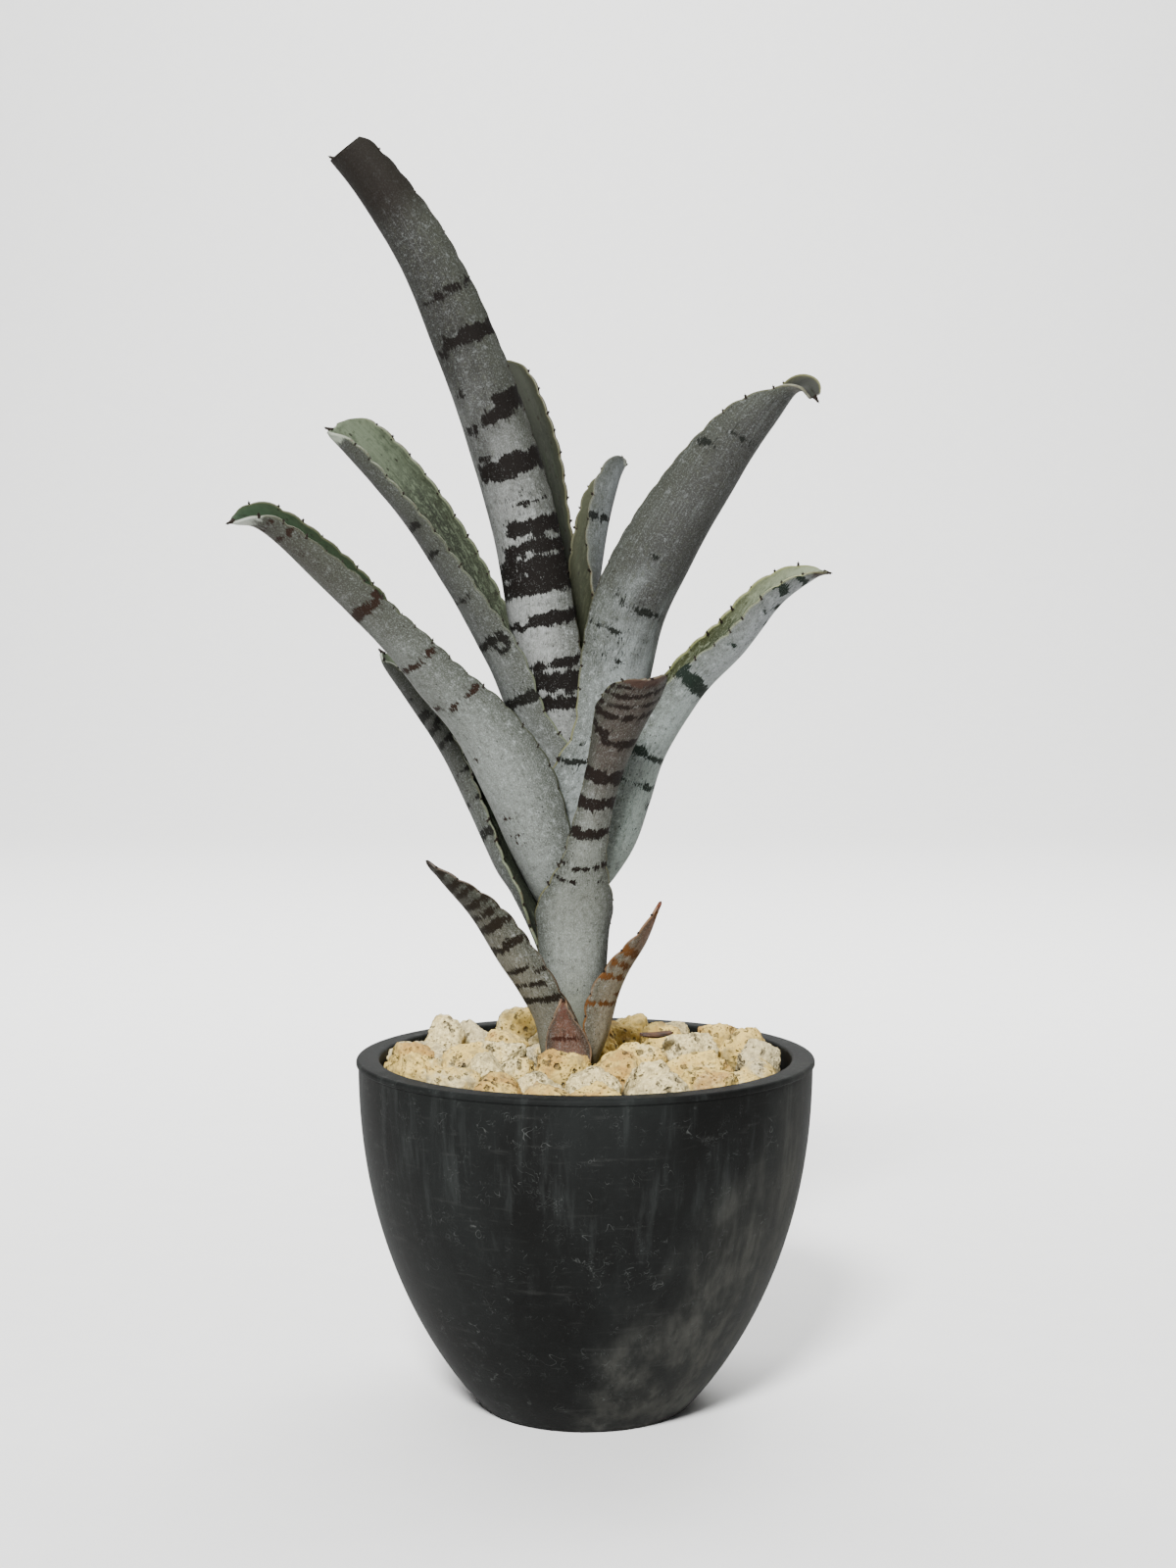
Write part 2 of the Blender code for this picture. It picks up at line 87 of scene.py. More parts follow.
class Finish:
    """A socket in a material. Sums written with it add Math nodes to that material."""

    def __init__(self, tree, socket=None):
        self.tree = tree
        self.socket = socket

    def add(self, kind, settings, sockets, out=0):
        """Add a node: its settings first, then its sockets' values or links; gives one output."""
        node = self.tree.nodes.new(kind)
        for name, value in settings.items():
            setattr(node, name, value)
        for name, value in sockets.items():
            self.feed(node.inputs[name], value)
        return Finish(self.tree, node.outputs[out])

    def feed(self, target, value):
        """Link a wrapped socket to an input, or set the input's own value."""
        if isinstance(value, Finish):
            self.tree.links.new(value.socket, target)
        elif isinstance(value, tuple) and target.type == "RGBA":
            target.default_value = (*value, 1.0)
        else:
            target.default_value = value

    def sum(self, operation, first, second):
        return self.add("ShaderNodeMath", {"operation": operation}, {0: first, 1: second})

    def __add__(self, other):
        return self.sum("ADD", self, other)

    def __radd__(self, other):
        return self.sum("ADD", other, self)

    def __sub__(self, other):
        return self.sum("SUBTRACT", self, other)

    def __rsub__(self, other):
        return self.sum("SUBTRACT", other, self)

    def __mul__(self, other):
        return self.sum("MULTIPLY", self, other)

    def __rmul__(self, other):
        return self.sum("MULTIPLY", other, self)

    def __abs__(self):
        return self.sum("ABSOLUTE", self, 0.0)

    def step(self, low, high):
        """0 below low and 1 above high, with a smooth rise between; low may be above high."""
        return self.add("ShaderNodeMapRange", {"interpolation_type": "SMOOTHSTEP"},
                        {0: self, 1: low, 2: high, 3: 0.0, 4: 1.0})

    def stretch(self, across, along, deep=1.0):
        """This vector, scaled along its three axes."""
        return self.add("ShaderNodeVectorMath", {"operation": "MULTIPLY"},
                        {0: self, 1: (across, along, deep)})

    def cloud(self, scale, detail=2.0, rough=0.5, twist=0.0):
        """Noise from 0 to 1 that reads this vector."""
        return self.add("ShaderNodeTexNoise", {},
                        {"Vector": self, "Scale": scale, "Detail": detail, "Roughness": rough,
                         "Distortion": twist})

    def cells(self, scale):
        """Distance to the nearest of scattered points, read at this vector."""
        return self.add("ShaderNodeTexVoronoi", {},
                        {"Vector": self, "Scale": scale, "Randomness": 1.0})

    def tint(self, under, over):
        """The colour under, turned to the colour over where this value is 1."""
        return self.add("ShaderNodeMix", {"data_type": "RGBA"}, {0: self, 6: under, 7: over}, out=2)

    def parts(self):
        """The three numbers of this vector."""
        node = self.add("ShaderNodeSeparateXYZ", {}, {0: self}).socket.node
        return [Finish(self.tree, node.outputs[axis]) for axis in range(3)]


def new_finish(name, **constants):
    """A material whose shader has its constants set; gives it, its shader and a first socket."""
    material = bpy.data.materials.new(name)
    material.use_nodes = True
    shader = material.node_tree.nodes["Principled BSDF"]
    for socket, value in constants.items():
        shader.inputs[socket.replace("_", " ")].default_value = value
    return material, shader, Finish(material.node_tree)


def set_surface(start, shader, colour, roughness, height, depth, strength):
    """Feed a shader its colour, its roughness and a bump that is depth metres high."""
    start.feed(shader.inputs["Base Color"], colour)
    start.feed(shader.inputs["Roughness"], roughness)
    bump = start.add("ShaderNodeBump", {}, {"Strength": strength, "Distance": depth, "Height": height})
    start.feed(shader.inputs["Normal"], bump)


def frame_place(start):
    """Where each point of a surface lies in the frame, in metres."""
    return start.add("ShaderNodeTexCoord", {}, {}, out="Object")


def new_piece(name, bm, finishes, replaces, smooth_angle=180):
    """Write a bmesh as a finished piece that rides with the pot and stands for CAD nodes."""
    mesh = bpy.data.meshes.new(name)
    bm.to_mesh(mesh)
    bm.free()
    mesh.shade_smooth()
    if smooth_angle < 180:
        mesh.set_sharp_from_angle(angle=math.radians(smooth_angle))
    for finish in finishes:
        mesh.materials.append(finish)
    piece = bpy.data.objects.new(name, mesh)
    bpy.context.scene.collection.objects.link(piece)
    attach(piece, "root")
    if replaces:
        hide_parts(*replaces)
    return piece


def wall_radius(height):
    """Outer radius of the pot's wall at a height above its underside."""
    rise = min(max(height / POT_HEIGHT, 0.0), 1.0)
    swell = (1.0 - (1.0 - rise) ** POT_BELLY_POWER) ** POT_BELLY_ROUND
    return POT_FOOT_RADIUS + (POT_RIM_RADIUS - LIP_STEP - POT_FOOT_RADIUS) * swell


def inner_radius(height):
    """Inner radius of the pot, where the wall thickens to the rim's width."""
    rise = min(max(height / POT_HEIGHT, 0.0), 1.0)
    return wall_radius(height) - POT_WALL - (POT_RIM_WIDTH - LIP_STEP - POT_WALL) * rise ** POT_RIM_FLARE


def turn_profile(profile, sides):
    """Spin an open profile of (radius, height) that starts and ends on the axis."""
    bm = bmesh.new()
    verts = [bm.verts.new((radius, 0.0, height)) for radius, height in profile]
    edges = [bm.edges.new(pair) for pair in zip(verts, verts[1:])]
    bmesh.ops.spin(bm, geom=verts + edges, cent=(0, 0, 0), axis=(0, 0, 1), angle=2 * math.pi,
                   steps=sides, use_merge=True)
    bmesh.ops.remove_doubles(bm, verts=bm.verts, dist=0.000001)
    bmesh.ops.recalc_face_normals(bm, faces=bm.faces)
    return bm


def arc(centre, radius, start, end, steps):
    """Points on an arc in the profile plane, from start to end in degrees."""
    angles = [math.radians(start + (end - start) * step / steps) for step in range(steps + 1)]
    return [(centre[0] + radius * math.cos(a), centre[1] + radius * math.sin(a)) for a in angles]


def pot_profile():
    """The pot's outline from the inner floor's middle, over the lip, to the underside's middle."""
    lip_base = POT_HEIGHT - LIP_HEIGHT
    points = [(0.0, POT_FLOOR), (inner_radius(POT_FLOOR) - POT_FLOOR * FLOOR_CORNER, POT_FLOOR)]
    for step in range(1, WALL_STEPS + 1):
        height = POT_FLOOR + (POT_HEIGHT - LIP_ROUND - POT_FLOOR) * step / WALL_STEPS
        points.append((inner_radius(height), height))
    inner_edge = (inner_radius(POT_HEIGHT) + LIP_ROUND, POT_HEIGHT - LIP_ROUND)
    points += arc(inner_edge, LIP_ROUND, 150, 90, 4)
    points += arc((POT_RIM_RADIUS - LIP_ROUND, POT_HEIGHT - LIP_ROUND), LIP_ROUND, 90, 0, 6)
    points.append((POT_RIM_RADIUS - LIP_DRAFT, lip_base + LIP_STEP * LIP_TURN))
    points.append((POT_RIM_RADIUS - LIP_STEP * LIP_TURN, lip_base + LIP_STEP * LIP_TUCK))
    for step in range(WALL_STEPS + 1):
        height = lip_base + (POT_FOOT_EDGE - lip_base) * step / WALL_STEPS
        points.append((wall_radius(height), height))
    for wall_share, height_share in FOOT_ROUND:
        points.append((wall_radius(POT_FOOT_EDGE * wall_share), POT_FOOT_EDGE * height_share))
    points.append((POT_FOOT_RADIUS - POT_FOOT_EDGE * FOOT_BEVEL, 0.0))
    points.append((0.0, 0.0))
    return points


def pot_finish():
    """Matt black with a teal-grey cast, dusty patches and short curved pale scuffs."""
    material, shader, start = new_finish("pot_black", Specular_IOR_Level=0.09)
    place = frame_place(start)
    side, _, height = place.parts()
    haze = place.stretch(1.0, 1.0, 0.55).cloud(26.0, 6.0, 0.62)
    streak = place.stretch(1.0, 1.0, 0.10).cloud(170.0, 5.0, 0.65)
    smear = place.stretch(1.0, 1.0, 7.0).cloud(60.0, 5.0, 0.65)
    grain = place.cloud(1500.0, 3.0, 0.6)
    patch = place.cloud(48.0, 3.0, 0.55)
    curl = abs(place.cloud(170.0, 1.0, 0.5, 1.2) - 0.5)
    scuff = curl.step(0.010, 0.002) * place.cloud(120.0, 3.0, 0.6).step(0.56, 0.64)
    small = abs(place.cloud(330.0, 1.0, 0.5, 1.6) - 0.5)
    small_scuff = small.step(0.020, 0.004) * place.cloud(260.0, 2.0, 0.5).step(0.50, 0.62)
    dusty_side = (side * 12.0 - height * 9.0 + 0.45 + (haze - 0.5) * 1.8).step(0.15, 0.80)
    dust = dusty_side * (0.25 + streak.step(0.35, 0.65) * 0.9) * patch.step(0.25, 0.60)
    black = haze.step(0.35, 0.70).tint(BLACK_DEEP, BLACK_WORN)
    black = (streak.step(0.52, 0.72) * height.step(0.03, 0.10) * 0.40).tint(black, STREAK_GREY)
    black = (smear.step(0.56, 0.74) * 0.30).tint(black, SMEAR_GREY)
    black = (dust * 0.85).tint(black, DUST_GREY)
    black = (small_scuff * (0.10 + patch.step(0.42, 0.62) * 0.30)).tint(black, SCUFF_GREY)
    black = (scuff * 0.45).tint(black, SCUFF_PALE)
    speck = place.cells(520.0).step(0.16, 0.08) * patch.step(0.5, 0.7)
    black = (speck * 0.25).tint(black, SPECK_PALE)
    rough = 0.60 + haze * 0.16 + dust * 0.25 + scuff * 0.1
    bumps = grain * 0.5 + haze * 0.8 - scuff * 0.4 + smear * 0.3
    set_surface(start, shader, black, rough, bumps, 0.35 * MM, 0.5)
    return material


new_piece("pot_shell", turn_profile(pot_profile(), POT_SIDES), [pot_finish()], ["pot"],
          POT_EDGE_ANGLE)

# ---------------------------------------------------------------------------------------------
# The potting mix: coarse bark, grit and fibre that fills the pot up to the stones. Its top is
# a low dome, broken into crumbs, and it shows only as dark ground between the stones.

MIX_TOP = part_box("potting_mix")[1][2]
MIX_DOME = 2.0 * MM
MIX_GAP = 0.4 * MM
MIX_RINGS = 12
DOME_RINGS = 24
MIX_SIDES = 120
MIX_EDGE_ANGLE = 60
CRUMB_PITCH = 220.0
CRUMB_HEIGHT = 1.3 * MM
BARK_DARK = (0.006, 0.004, 0.003)
BARK_BROWN = (0.040, 0.024, 0.013)
FIBRE_PALE = (0.16, 0.11, 0.06)


def mix_finish():
    """Dark brown crumbs with a few paler fibres."""
    material, shader, start = new_finish("bark_mix", Specular_IOR_Level=0.25)
    place = frame_place(start)
    crumb = place.cells(330.0)
    grain = place.cloud(900.0, 4.0, 0.65)
    brown = grain.step(0.35, 0.7).tint(BARK_DARK, BARK_BROWN)
    fibre = place.stretch(1.0, 5.0, 5.0).cloud(160.0, 2.0).step(0.64, 0.70)
    brown = fibre.tint(brown, FIBRE_PALE)
    set_surface(start, shader, brown, 0.85 + grain * 0.1, grain - crumb, 1.2 * MM, 0.9)
    return material


def potting_mix():
    """A closed turned block under a crumbled dome."""
    top = MIX_TOP - MIX_DOME
    foot = POT_FLOOR + MIX_GAP
    outline = [(0.0, foot), (inner_radius(POT_FLOOR) - POT_FLOOR, foot)]
    for step in range(1, MIX_RINGS + 1):
        height = foot + (top - foot) * step / MIX_RINGS
        outline.append((inner_radius(height) - 2 * MIX_GAP, height))
    rim = outline[-1][0]
    for step in range(1, DOME_RINGS):
        share = step / DOME_RINGS
        outline.append((rim * (1.0 - share), top + MIX_DOME * math.sin(math.pi / 2 * share)))
    outline.append((0.0, top + MIX_DOME))
    bm = turn_profile(outline[::-1], MIX_SIDES)
    for vert in bm.verts:
        if vert.co.z >= top and vert.co.xy.length < rim * 0.98:
            vert.co.z += noise.fractal(vert.co * CRUMB_PITCH, 0.9, 2.0, 3) * CRUMB_HEIGHT
    return bm


new_piece("bark_bed", potting_mix(), [mix_finish()], ["potting_mix"], MIX_EDGE_ANGLE)

# ---------------------------------------------------------------------------------------------
# The pumice: forty cream, grey and ochre stones laid over the mix, 13 to 23 mm across. Each is
# a tumbled lump with a few flattish faces, full of gas pits, and stained where water dries.
# Small chips of the same pumice lie between them.

STONE_NODES = [name for name in sorted(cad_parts) if name.startswith("pumice_")]
STONE_SEED = 5
STONE_FILL = 0.49
STONE_LEVELS = 5
STONE_FACES = 10
FACE_NEAR = 0.66
FACE_FAR = 0.90
STONE_REACH = 1.12
FACE_BLEND = 0.10
FACE_ROUND = 0.025
STONE_SWELL = 0.11
SWELL_PITCH = 1.6
STONE_CRUMBLE = 0.055
CRUMBLE_PITCH = 7.0
PIT_PITCH = 5.5
PIT_START = 0.12
PIT_DEPTH = 0.45
GRIT_COUNT = 40
GRIT_LEVELS = 2
GRIT_SMALL = 1.6
GRIT_LARGE = 3.4
GRIT_LIFT = 3.0 * MM
CREAM_DARK = (0.34, 0.265, 0.120)
CREAM_PALE = (0.78, 0.655, 0.330)
STONE_GREY = (0.27, 0.25, 0.185)
OCHRE = (0.60, 0.41, 0.085)
RUST_BROWN = (0.24, 0.10, 0.020)
PATCH_BROWN = (0.10, 0.083, 0.050)
PIT_SHADE = (0.040, 0.031, 0.018)
FINE_PIT_SHADE = (0.070, 0.056, 0.032)
FOOT_SHADE_BROWN = (0.030, 0.023, 0.014)
CRYSTAL_DARK = (0.030, 0.027, 0.022)


def read_layer(start, name, out="Vector"):
    """What a piece stores under a name for each point of its surface."""
    return start.add("ShaderNodeAttribute", {"attribute_name": name}, {}, out=out)


def write_layer(piece, name, values):
    """Store a number or a vector for each point of a piece, for its finish to read."""
    values = np.array(values, dtype=float)
    kind, key = ("FLOAT_VECTOR", "vector") if values.ndim == 2 else ("FLOAT", "value")
    piece.data.attributes.new(name, kind, "POINT").data.foreach_set(key, values.ravel())


def pumice_finish():
    """Cream pumice: pits, grey grain, ochre stains, each stone with its own tone; painted shade darkens
    the pits and each stone's lower part.
    """
    material, shader, start = new_finish("pumice_cream", Specular_IOR_Level=0.25)
    place = frame_place(start)
    warm, grey, rise = read_layer(start, "tone").parts()
    wide = place.cloud(90.0, 4.0, 0.6)
    rough_patch = place.cloud(210.0, 3.0, 0.6)
    grain = place.cloud(900.0, 5.0, 0.7)
    pits = (place.cells(330.0) + (rough_patch - 0.5) * 1.6).step(0.28, 0.10)
    fine_pits = (place.cells(900.0) + (rough_patch - 0.5) * 1.8).step(0.26, 0.08)
    stain = (wide * 1.7 + warm * 0.95 - 1.05).step(0.0, 0.36)
    body = grain.step(0.28, 0.72).tint(CREAM_DARK, CREAM_PALE)
    body = (grey * 0.75).tint(body, STONE_GREY)
    body = (stain * 0.75).tint(body, OCHRE)
    rust = (place.cloud(75.0, 3.0, 0.6) + warm * 0.32).step(0.74, 0.90)
    body = (rust * 0.60).tint(body, RUST_BROWN)
    body = (rough_patch.step(0.54, 0.66) * 0.50).tint(body, PATCH_BROWN)
    # painted shade: the pits and fine pits are darkened in colour, as if shaded inside
    body = (pits * 0.65).tint(body, PIT_SHADE)
    body = (fine_pits * 0.55).tint(body, FINE_PIT_SHADE)
    # painted shade: each stone darkens towards its foot, where it sits among the other stones and the mix
    foot_shade = (rise + (rough_patch - 0.5) * 0.25).step(0.66, 0.30)
    body = (foot_shade * 0.80).tint(body, FOOT_SHADE_BROWN)
    crystal = place.cells(520.0).step(0.13, 0.06) * wide.step(0.52, 0.58)
    body = (crystal * 0.85).tint(body, CRYSTAL_DARK)
    height = grain * 0.55 + wide * 0.8 + rough_patch * 0.9 - pits * 1.5 - fine_pits * 0.7
    set_surface(start, shader, body, 0.84 + grain * 0.12, height, 1.1 * MM, 0.9)
    return material


def cut_reach(direction, faces):
    """How far a stone reaches in a direction, where each face cuts it with a rounded edge."""
    reach = STONE_REACH
    for normal, distance in faces:
        slope = normal.dot(direction)
        if slope > 0.05:
            cut = distance / slope
            if cut < reach + FACE_BLEND:
                blend = min(1.0, max(0.0, (reach + FACE_BLEND - cut) / (2.0 * FACE_BLEND)))
                reach = reach * (1.0 - blend) + cut * blend - FACE_ROUND * blend * (1.0 - blend) * 4.0
    return reach


def lumpy_stone(bm, centre, half, rng, levels):
    """Add one stone: a sphere cut flatter by a few seeded faces and then roughened."""
    made = bmesh.ops.create_icosphere(bm, subdivisions=levels, radius=1.0)["verts"]
    spin = Matrix.Rotation(rng.uniform(-0.5, 0.5), 3, "Z")
    faces = []
    for _ in range(STONE_FACES):
        normal = Vector([rng.gauss(0.0, 1.0) for _ in range(3)]).normalized()
        faces.append((normal, rng.uniform(FACE_NEAR, FACE_FAR)))
    offset = Vector([rng.uniform(-40.0, 40.0) for _ in range(3)])
    for vert in made:
        direction = vert.co.normalized()
        reach = cut_reach(direction, faces)
        swell = noise.fractal(direction * SWELL_PITCH + offset, 0.8, 2.0, 4) * STONE_SWELL
        crumble = noise.fractal(direction * CRUMBLE_PITCH - offset, 0.8, 2.0, 4) * STONE_CRUMBLE
        pit = max(0.0, PIT_START - abs(noise.noise(direction * PIT_PITCH + offset))) * PIT_DEPTH
        shape = spin @ (direction * (reach + (swell + crumble - pit)))
        vert.co = centre + Vector((shape.x * half.x, shape.y * half.y, shape.z * half.z))
    return made


def stone_tones(verts, rng):
    """For each point of one stone: how ochre, how grey, and how far up the stone it is."""
    warm, grey = rng.random() ** 1.2, rng.random() ** 1.8
    foot = min(vert.co.z for vert in verts)
    top = max(vert.co.z for vert in verts)
    return [(warm, grey, (vert.co.z - foot) / (top - foot)) for vert in verts]


rng = random.Random(STONE_SEED)
pumice = pumice_finish()
for name in STONE_NODES:
    low, high = [Vector(corner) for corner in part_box(name)]
    bm = bmesh.new()
    made = lumpy_stone(bm, (low + high) / 2, (high - low) * STONE_FILL, rng, STONE_LEVELS)
    tones = stone_tones(made, rng)
    stone = new_piece(name.replace("pumice", "stone"), bm, [pumice], [name])
    write_layer(stone, "tone", tones)

grit = bmesh.new()
tones = []
for _ in range(GRIT_COUNT):
    angle = rng.uniform(0.0, 2.0 * math.pi)
    reach = inner_radius(MIX_TOP) * math.sqrt(rng.uniform(0.06, 0.90))
    size = rng.uniform(GRIT_SMALL, GRIT_LARGE) * MM
    lift = rng.uniform(0.0, GRIT_LIFT)
    centre = Vector((reach * math.cos(angle), reach * math.sin(angle), MIX_TOP + lift))
    half = Vector([size * rng.uniform(0.7, 1.2) for _ in range(3)])
    made = lumpy_stone(grit, centre, half, rng, GRIT_LEVELS)
    tones += stone_tones(made, rng)
write_layer(new_piece("small_pumice", grit, [pumice], []), "tone", tones)

# ---------------------------------------------------------------------------------------------
# The stock: the short stem from which every leaf grows. It stands in the mix and tapers inside
# the rosette, pale green and fibrous, and it shows only when looking down between the leaves.

STOCK_BROWNED = 20 * MM
FIBRE_GREEN = (0.16, 0.19, 0.08)
FIBRE_LIGHT = (0.34, 0.37, 0.20)
STOCK_BROWN = (0.14, 0.085, 0.04)


def stock_finish():
    """Pale green fibres, browner towards the foot."""
    material, shader, start = new_finish("stock_green", Specular_IOR_Level=0.3)
    place = frame_place(start)
    fibre = place.stretch(1.0, 1.0, 0.08).cloud(900.0, 3.0, 0.6)
    low = place.parts()[2].step(POT_HEIGHT + STOCK_BROWNED, POT_HEIGHT - STOCK_BROWNED)
    green = fibre.step(0.35, 0.65).tint(FIBRE_GREEN, FIBRE_LIGHT)
    green = (low * 0.8).tint(green, STOCK_BROWN)
    set_surface(start, shader, green, 0.6 + fibre * 0.2, fibre, 0.5 * MM, 0.8)
    return material


def refinish(name, finish):
    """Give a solid of the frame that stays in view its own finish."""
    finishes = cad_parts[name].data.materials
    finishes.clear()
    finishes.append(finish)


refinish("stem", stock_finish())

# ---------------------------------------------------------------------------------------------
# The leaves: nine rolled leaves and three small ones at the foot, each a single stiff sheet.
# A sheet wraps the stock as a sheath, then leaves it as a tube that recurves to a short point.
# Outside it is grey with silver scales and ragged dark cross bands; inside it is sage green.

PLANT_OFFSET_X = -4.5 * MM
LEAF_LAYER = 1.65 * MM
LEAF_THICKNESS = 1.0 * MM
STEM_RADIUS = 5.8 * MM
STEM_TOP_RADIUS = 1.4 * MM
STEM_REACH = 78 * MM
FIT_GAP = 0.3 * MM
SHEATH_FOOT = -8 * MM
SHEATH_STEP = 16 * MM
SHEATH_LEAST = 4 * MM
ROSETTE_HEIGHTS = (-8, -2, 5, 12, 25, 47, 65, 80, 97, 120, 150)
ROSETTE_RADII = (10.8, 11.5, 12.6, 14.2, 16.5, 18.0, 19.7, 22.5, 25.5, 26.7, 26.4)
LEAF_ROWS = 150
LEAF_COLUMNS = 44
LEAF_EDGE_ANGLE = 60
SHEET_THICKNESS = 0.85 * MM
FREE_RUN = 12.0
RIPPLE = 0.45
DIMPLE = 0.10
SCALLOP = 0.9
SCALLOP_POWER = 0.7
SCALLOP_FROM = 0.6
SPINE_PITCH = 7.2
SPINE_LENGTH = 1.6 * MM
SPINE_CLEAR = 4.0
SPINE_END = 0.985
SPINE_INSET = 0.97
SPINE_SHEET = 50.0
SPINE_WIDTH = 0.34
SPINE_POINT = 0.03
SPINE_LEAN = 0.55
SPINE_SINK = 0.32
SMALL_LAYERS = 3
SMALL_SPINE = 0.55
SMALL_PITCH = 0.5
BAND_REACH = 8.0
SHEET_APART = 37.0
LEAST_WIDTH = 6.0
PALE_SCALE = (0.300, 0.325, 0.318)
SIDE_SHADE = (0.024, 0.026, 0.019)
MOTTLE_GREY = (0.034, 0.036, 0.027)
STREAK_DARK = (0.035, 0.037, 0.028)
FLECK_DARK = (0.026, 0.027, 0.018)
GRAIN_DARK = (0.024, 0.026, 0.020)
DOT_BLACK = (0.010, 0.009, 0.007)
SHEATH_OLIVE = (0.085, 0.088, 0.045)
INNER_STREAK = (0.022, 0.030, 0.016)
POCK_BLACK = (0.010, 0.009, 0.006)
SPINE_BROWN = (0.010, 0.007, 0.005)
MARGIN_BROWN = (0.055, 0.032, 0.014)


class Leaf:
    """One leaf: heading, layer, sheath, blade stations, tip, and how its bands and tones go."""

    def __init__(self, name, heading, layer, sheath_top, sheath_wrap, blade, tip, tones, bands,
                 sway=0.0, point=3.0):
        self.name = name
        self.heading = math.radians(heading)
        self.layer = layer
        self.sheath_top = sheath_top
        self.sheath_wrap = sheath_wrap
        self.blade = blade
        self.tip = tip
        self.tones = tones
        self.bands = bands
        self.sway = sway
        self.point = point


class Tones:
    """Colours of one kind of leaf, from its sheath up, and where its upper part darkens."""

    def __init__(self, name, pale, dark, aged, band, inner, inner_dark, tip, margin, flecks=0.5,
                 tip_from=0.965):
        self.name = name
        self.pale = pale
        self.dark = dark
        self.aged = aged
        self.band = band
        self.inner = inner
        self.inner_dark = inner_dark
        self.tip = tip
        self.margin = margin
        self.flecks = flecks
        self.tip_from = tip_from


SILVER = Tones("silver", (0.1562, 0.1607, 0.1536), (0.0105, 0.0099, 0.0088),
               (0.34, 0.74), (0.0038, 0.0028, 0.0022),
               (0.0225, 0.0240, 0.0180), (0.0120, 0.0135, 0.0098),
               (0.006, 0.0042, 0.003), (0.055, 0.055, 0.028), tip_from=0.86)
STEEL = Tones("steel", (0.1837, 0.2038, 0.1984), (0.0221, 0.0217, 0.0204),
              (0.38, 0.66), (0.0055, 0.0065, 0.0050),
              (0.0225, 0.0230, 0.0200), (0.0144, 0.0150, 0.0120),
              (0.06, 0.058, 0.052), (0.12, 0.12, 0.055))
SAGE = Tones("sage", (0.1134, 0.1202, 0.1125), (0.0282, 0.0278, 0.0260),
             (0.28, 0.75), (0.0050, 0.0048, 0.0036),
             (0.0800, 0.0980, 0.0640), (0.0100, 0.0116, 0.0076),
             (0.26, 0.29, 0.23), (0.080, 0.092, 0.055))
MOSS = Tones("moss", (0.1242, 0.1348, 0.1242), (0.0276, 0.0259, 0.0210),
             (0.38, 0.90), (0.0120, 0.0060, 0.0035),
             (0.0216, 0.0372, 0.0198), (0.0078, 0.0150, 0.0078),
             (0.28, 0.30, 0.26), (0.060, 0.065, 0.036))
FROST = Tones("frost", (0.1651, 0.1962, 0.1781), (0.1900, 0.2014, 0.2071),
              (0.35, 0.9), (0.0055, 0.0095, 0.0065),
              (0.1638, 0.1843, 0.1229), (0.0133, 0.0174, 0.0077),
              (0.015, 0.007, 0.005), (0.14, 0.15, 0.06))
DUSK = Tones("dusk", (0.1126, 0.1258, 0.1232), (0.1138, 0.1242, 0.1256),
             (0.3, 0.9), (0.0055, 0.0065, 0.0055),
             (0.0330, 0.0360, 0.0210), (0.0150, 0.0165, 0.0092),
             (0.26, 0.27, 0.22), (0.070, 0.070, 0.040))
ROSE = Tones("rose", (0.1323, 0.1418, 0.1248), (0.0268, 0.0200, 0.0161),
             (0.45, 0.82), (0.0058, 0.0036, 0.0025),
             (0.0576, 0.0512, 0.0320), (0.0224, 0.0179, 0.0102),
             (0.036, 0.019, 0.014), (0.12, 0.115, 0.045))
OLIVE = Tones("olive", (0.1275, 0.1208, 0.0918), (0.0108, 0.0085, 0.0058),
              (0.35, 0.90), (0.0080, 0.0056, 0.0030),
              (0.0320, 0.0352, 0.0154), (0.0192, 0.0192, 0.0090),
              (0.008, 0.005, 0.0035), (0.04, 0.025, 0.013), flecks=1.0)
AMBER = Tones("amber", (0.2124, 0.1848, 0.1298), (0.1102, 0.0454, 0.0233),
              (0.50, 0.95), (0.080, 0.032, 0.008),
              (0.0768, 0.0480, 0.0179), (0.0352, 0.0205, 0.0102),
              (0.13, 0.036, 0.022), (0.12, 0.055, 0.016), flecks=0.9)
RUST = Tones("rust", (0.1490, 0.0842, 0.0583), (0.0743, 0.0284, 0.0175),
             (0.2, 0.9), (0.035, 0.012, 0.007),
             (0.0512, 0.0224, 0.0128), (0.0256, 0.0102, 0.0064),
             (0.04, 0.015, 0.010), (0.28, 0.18, 0.11), flecks=0.8)


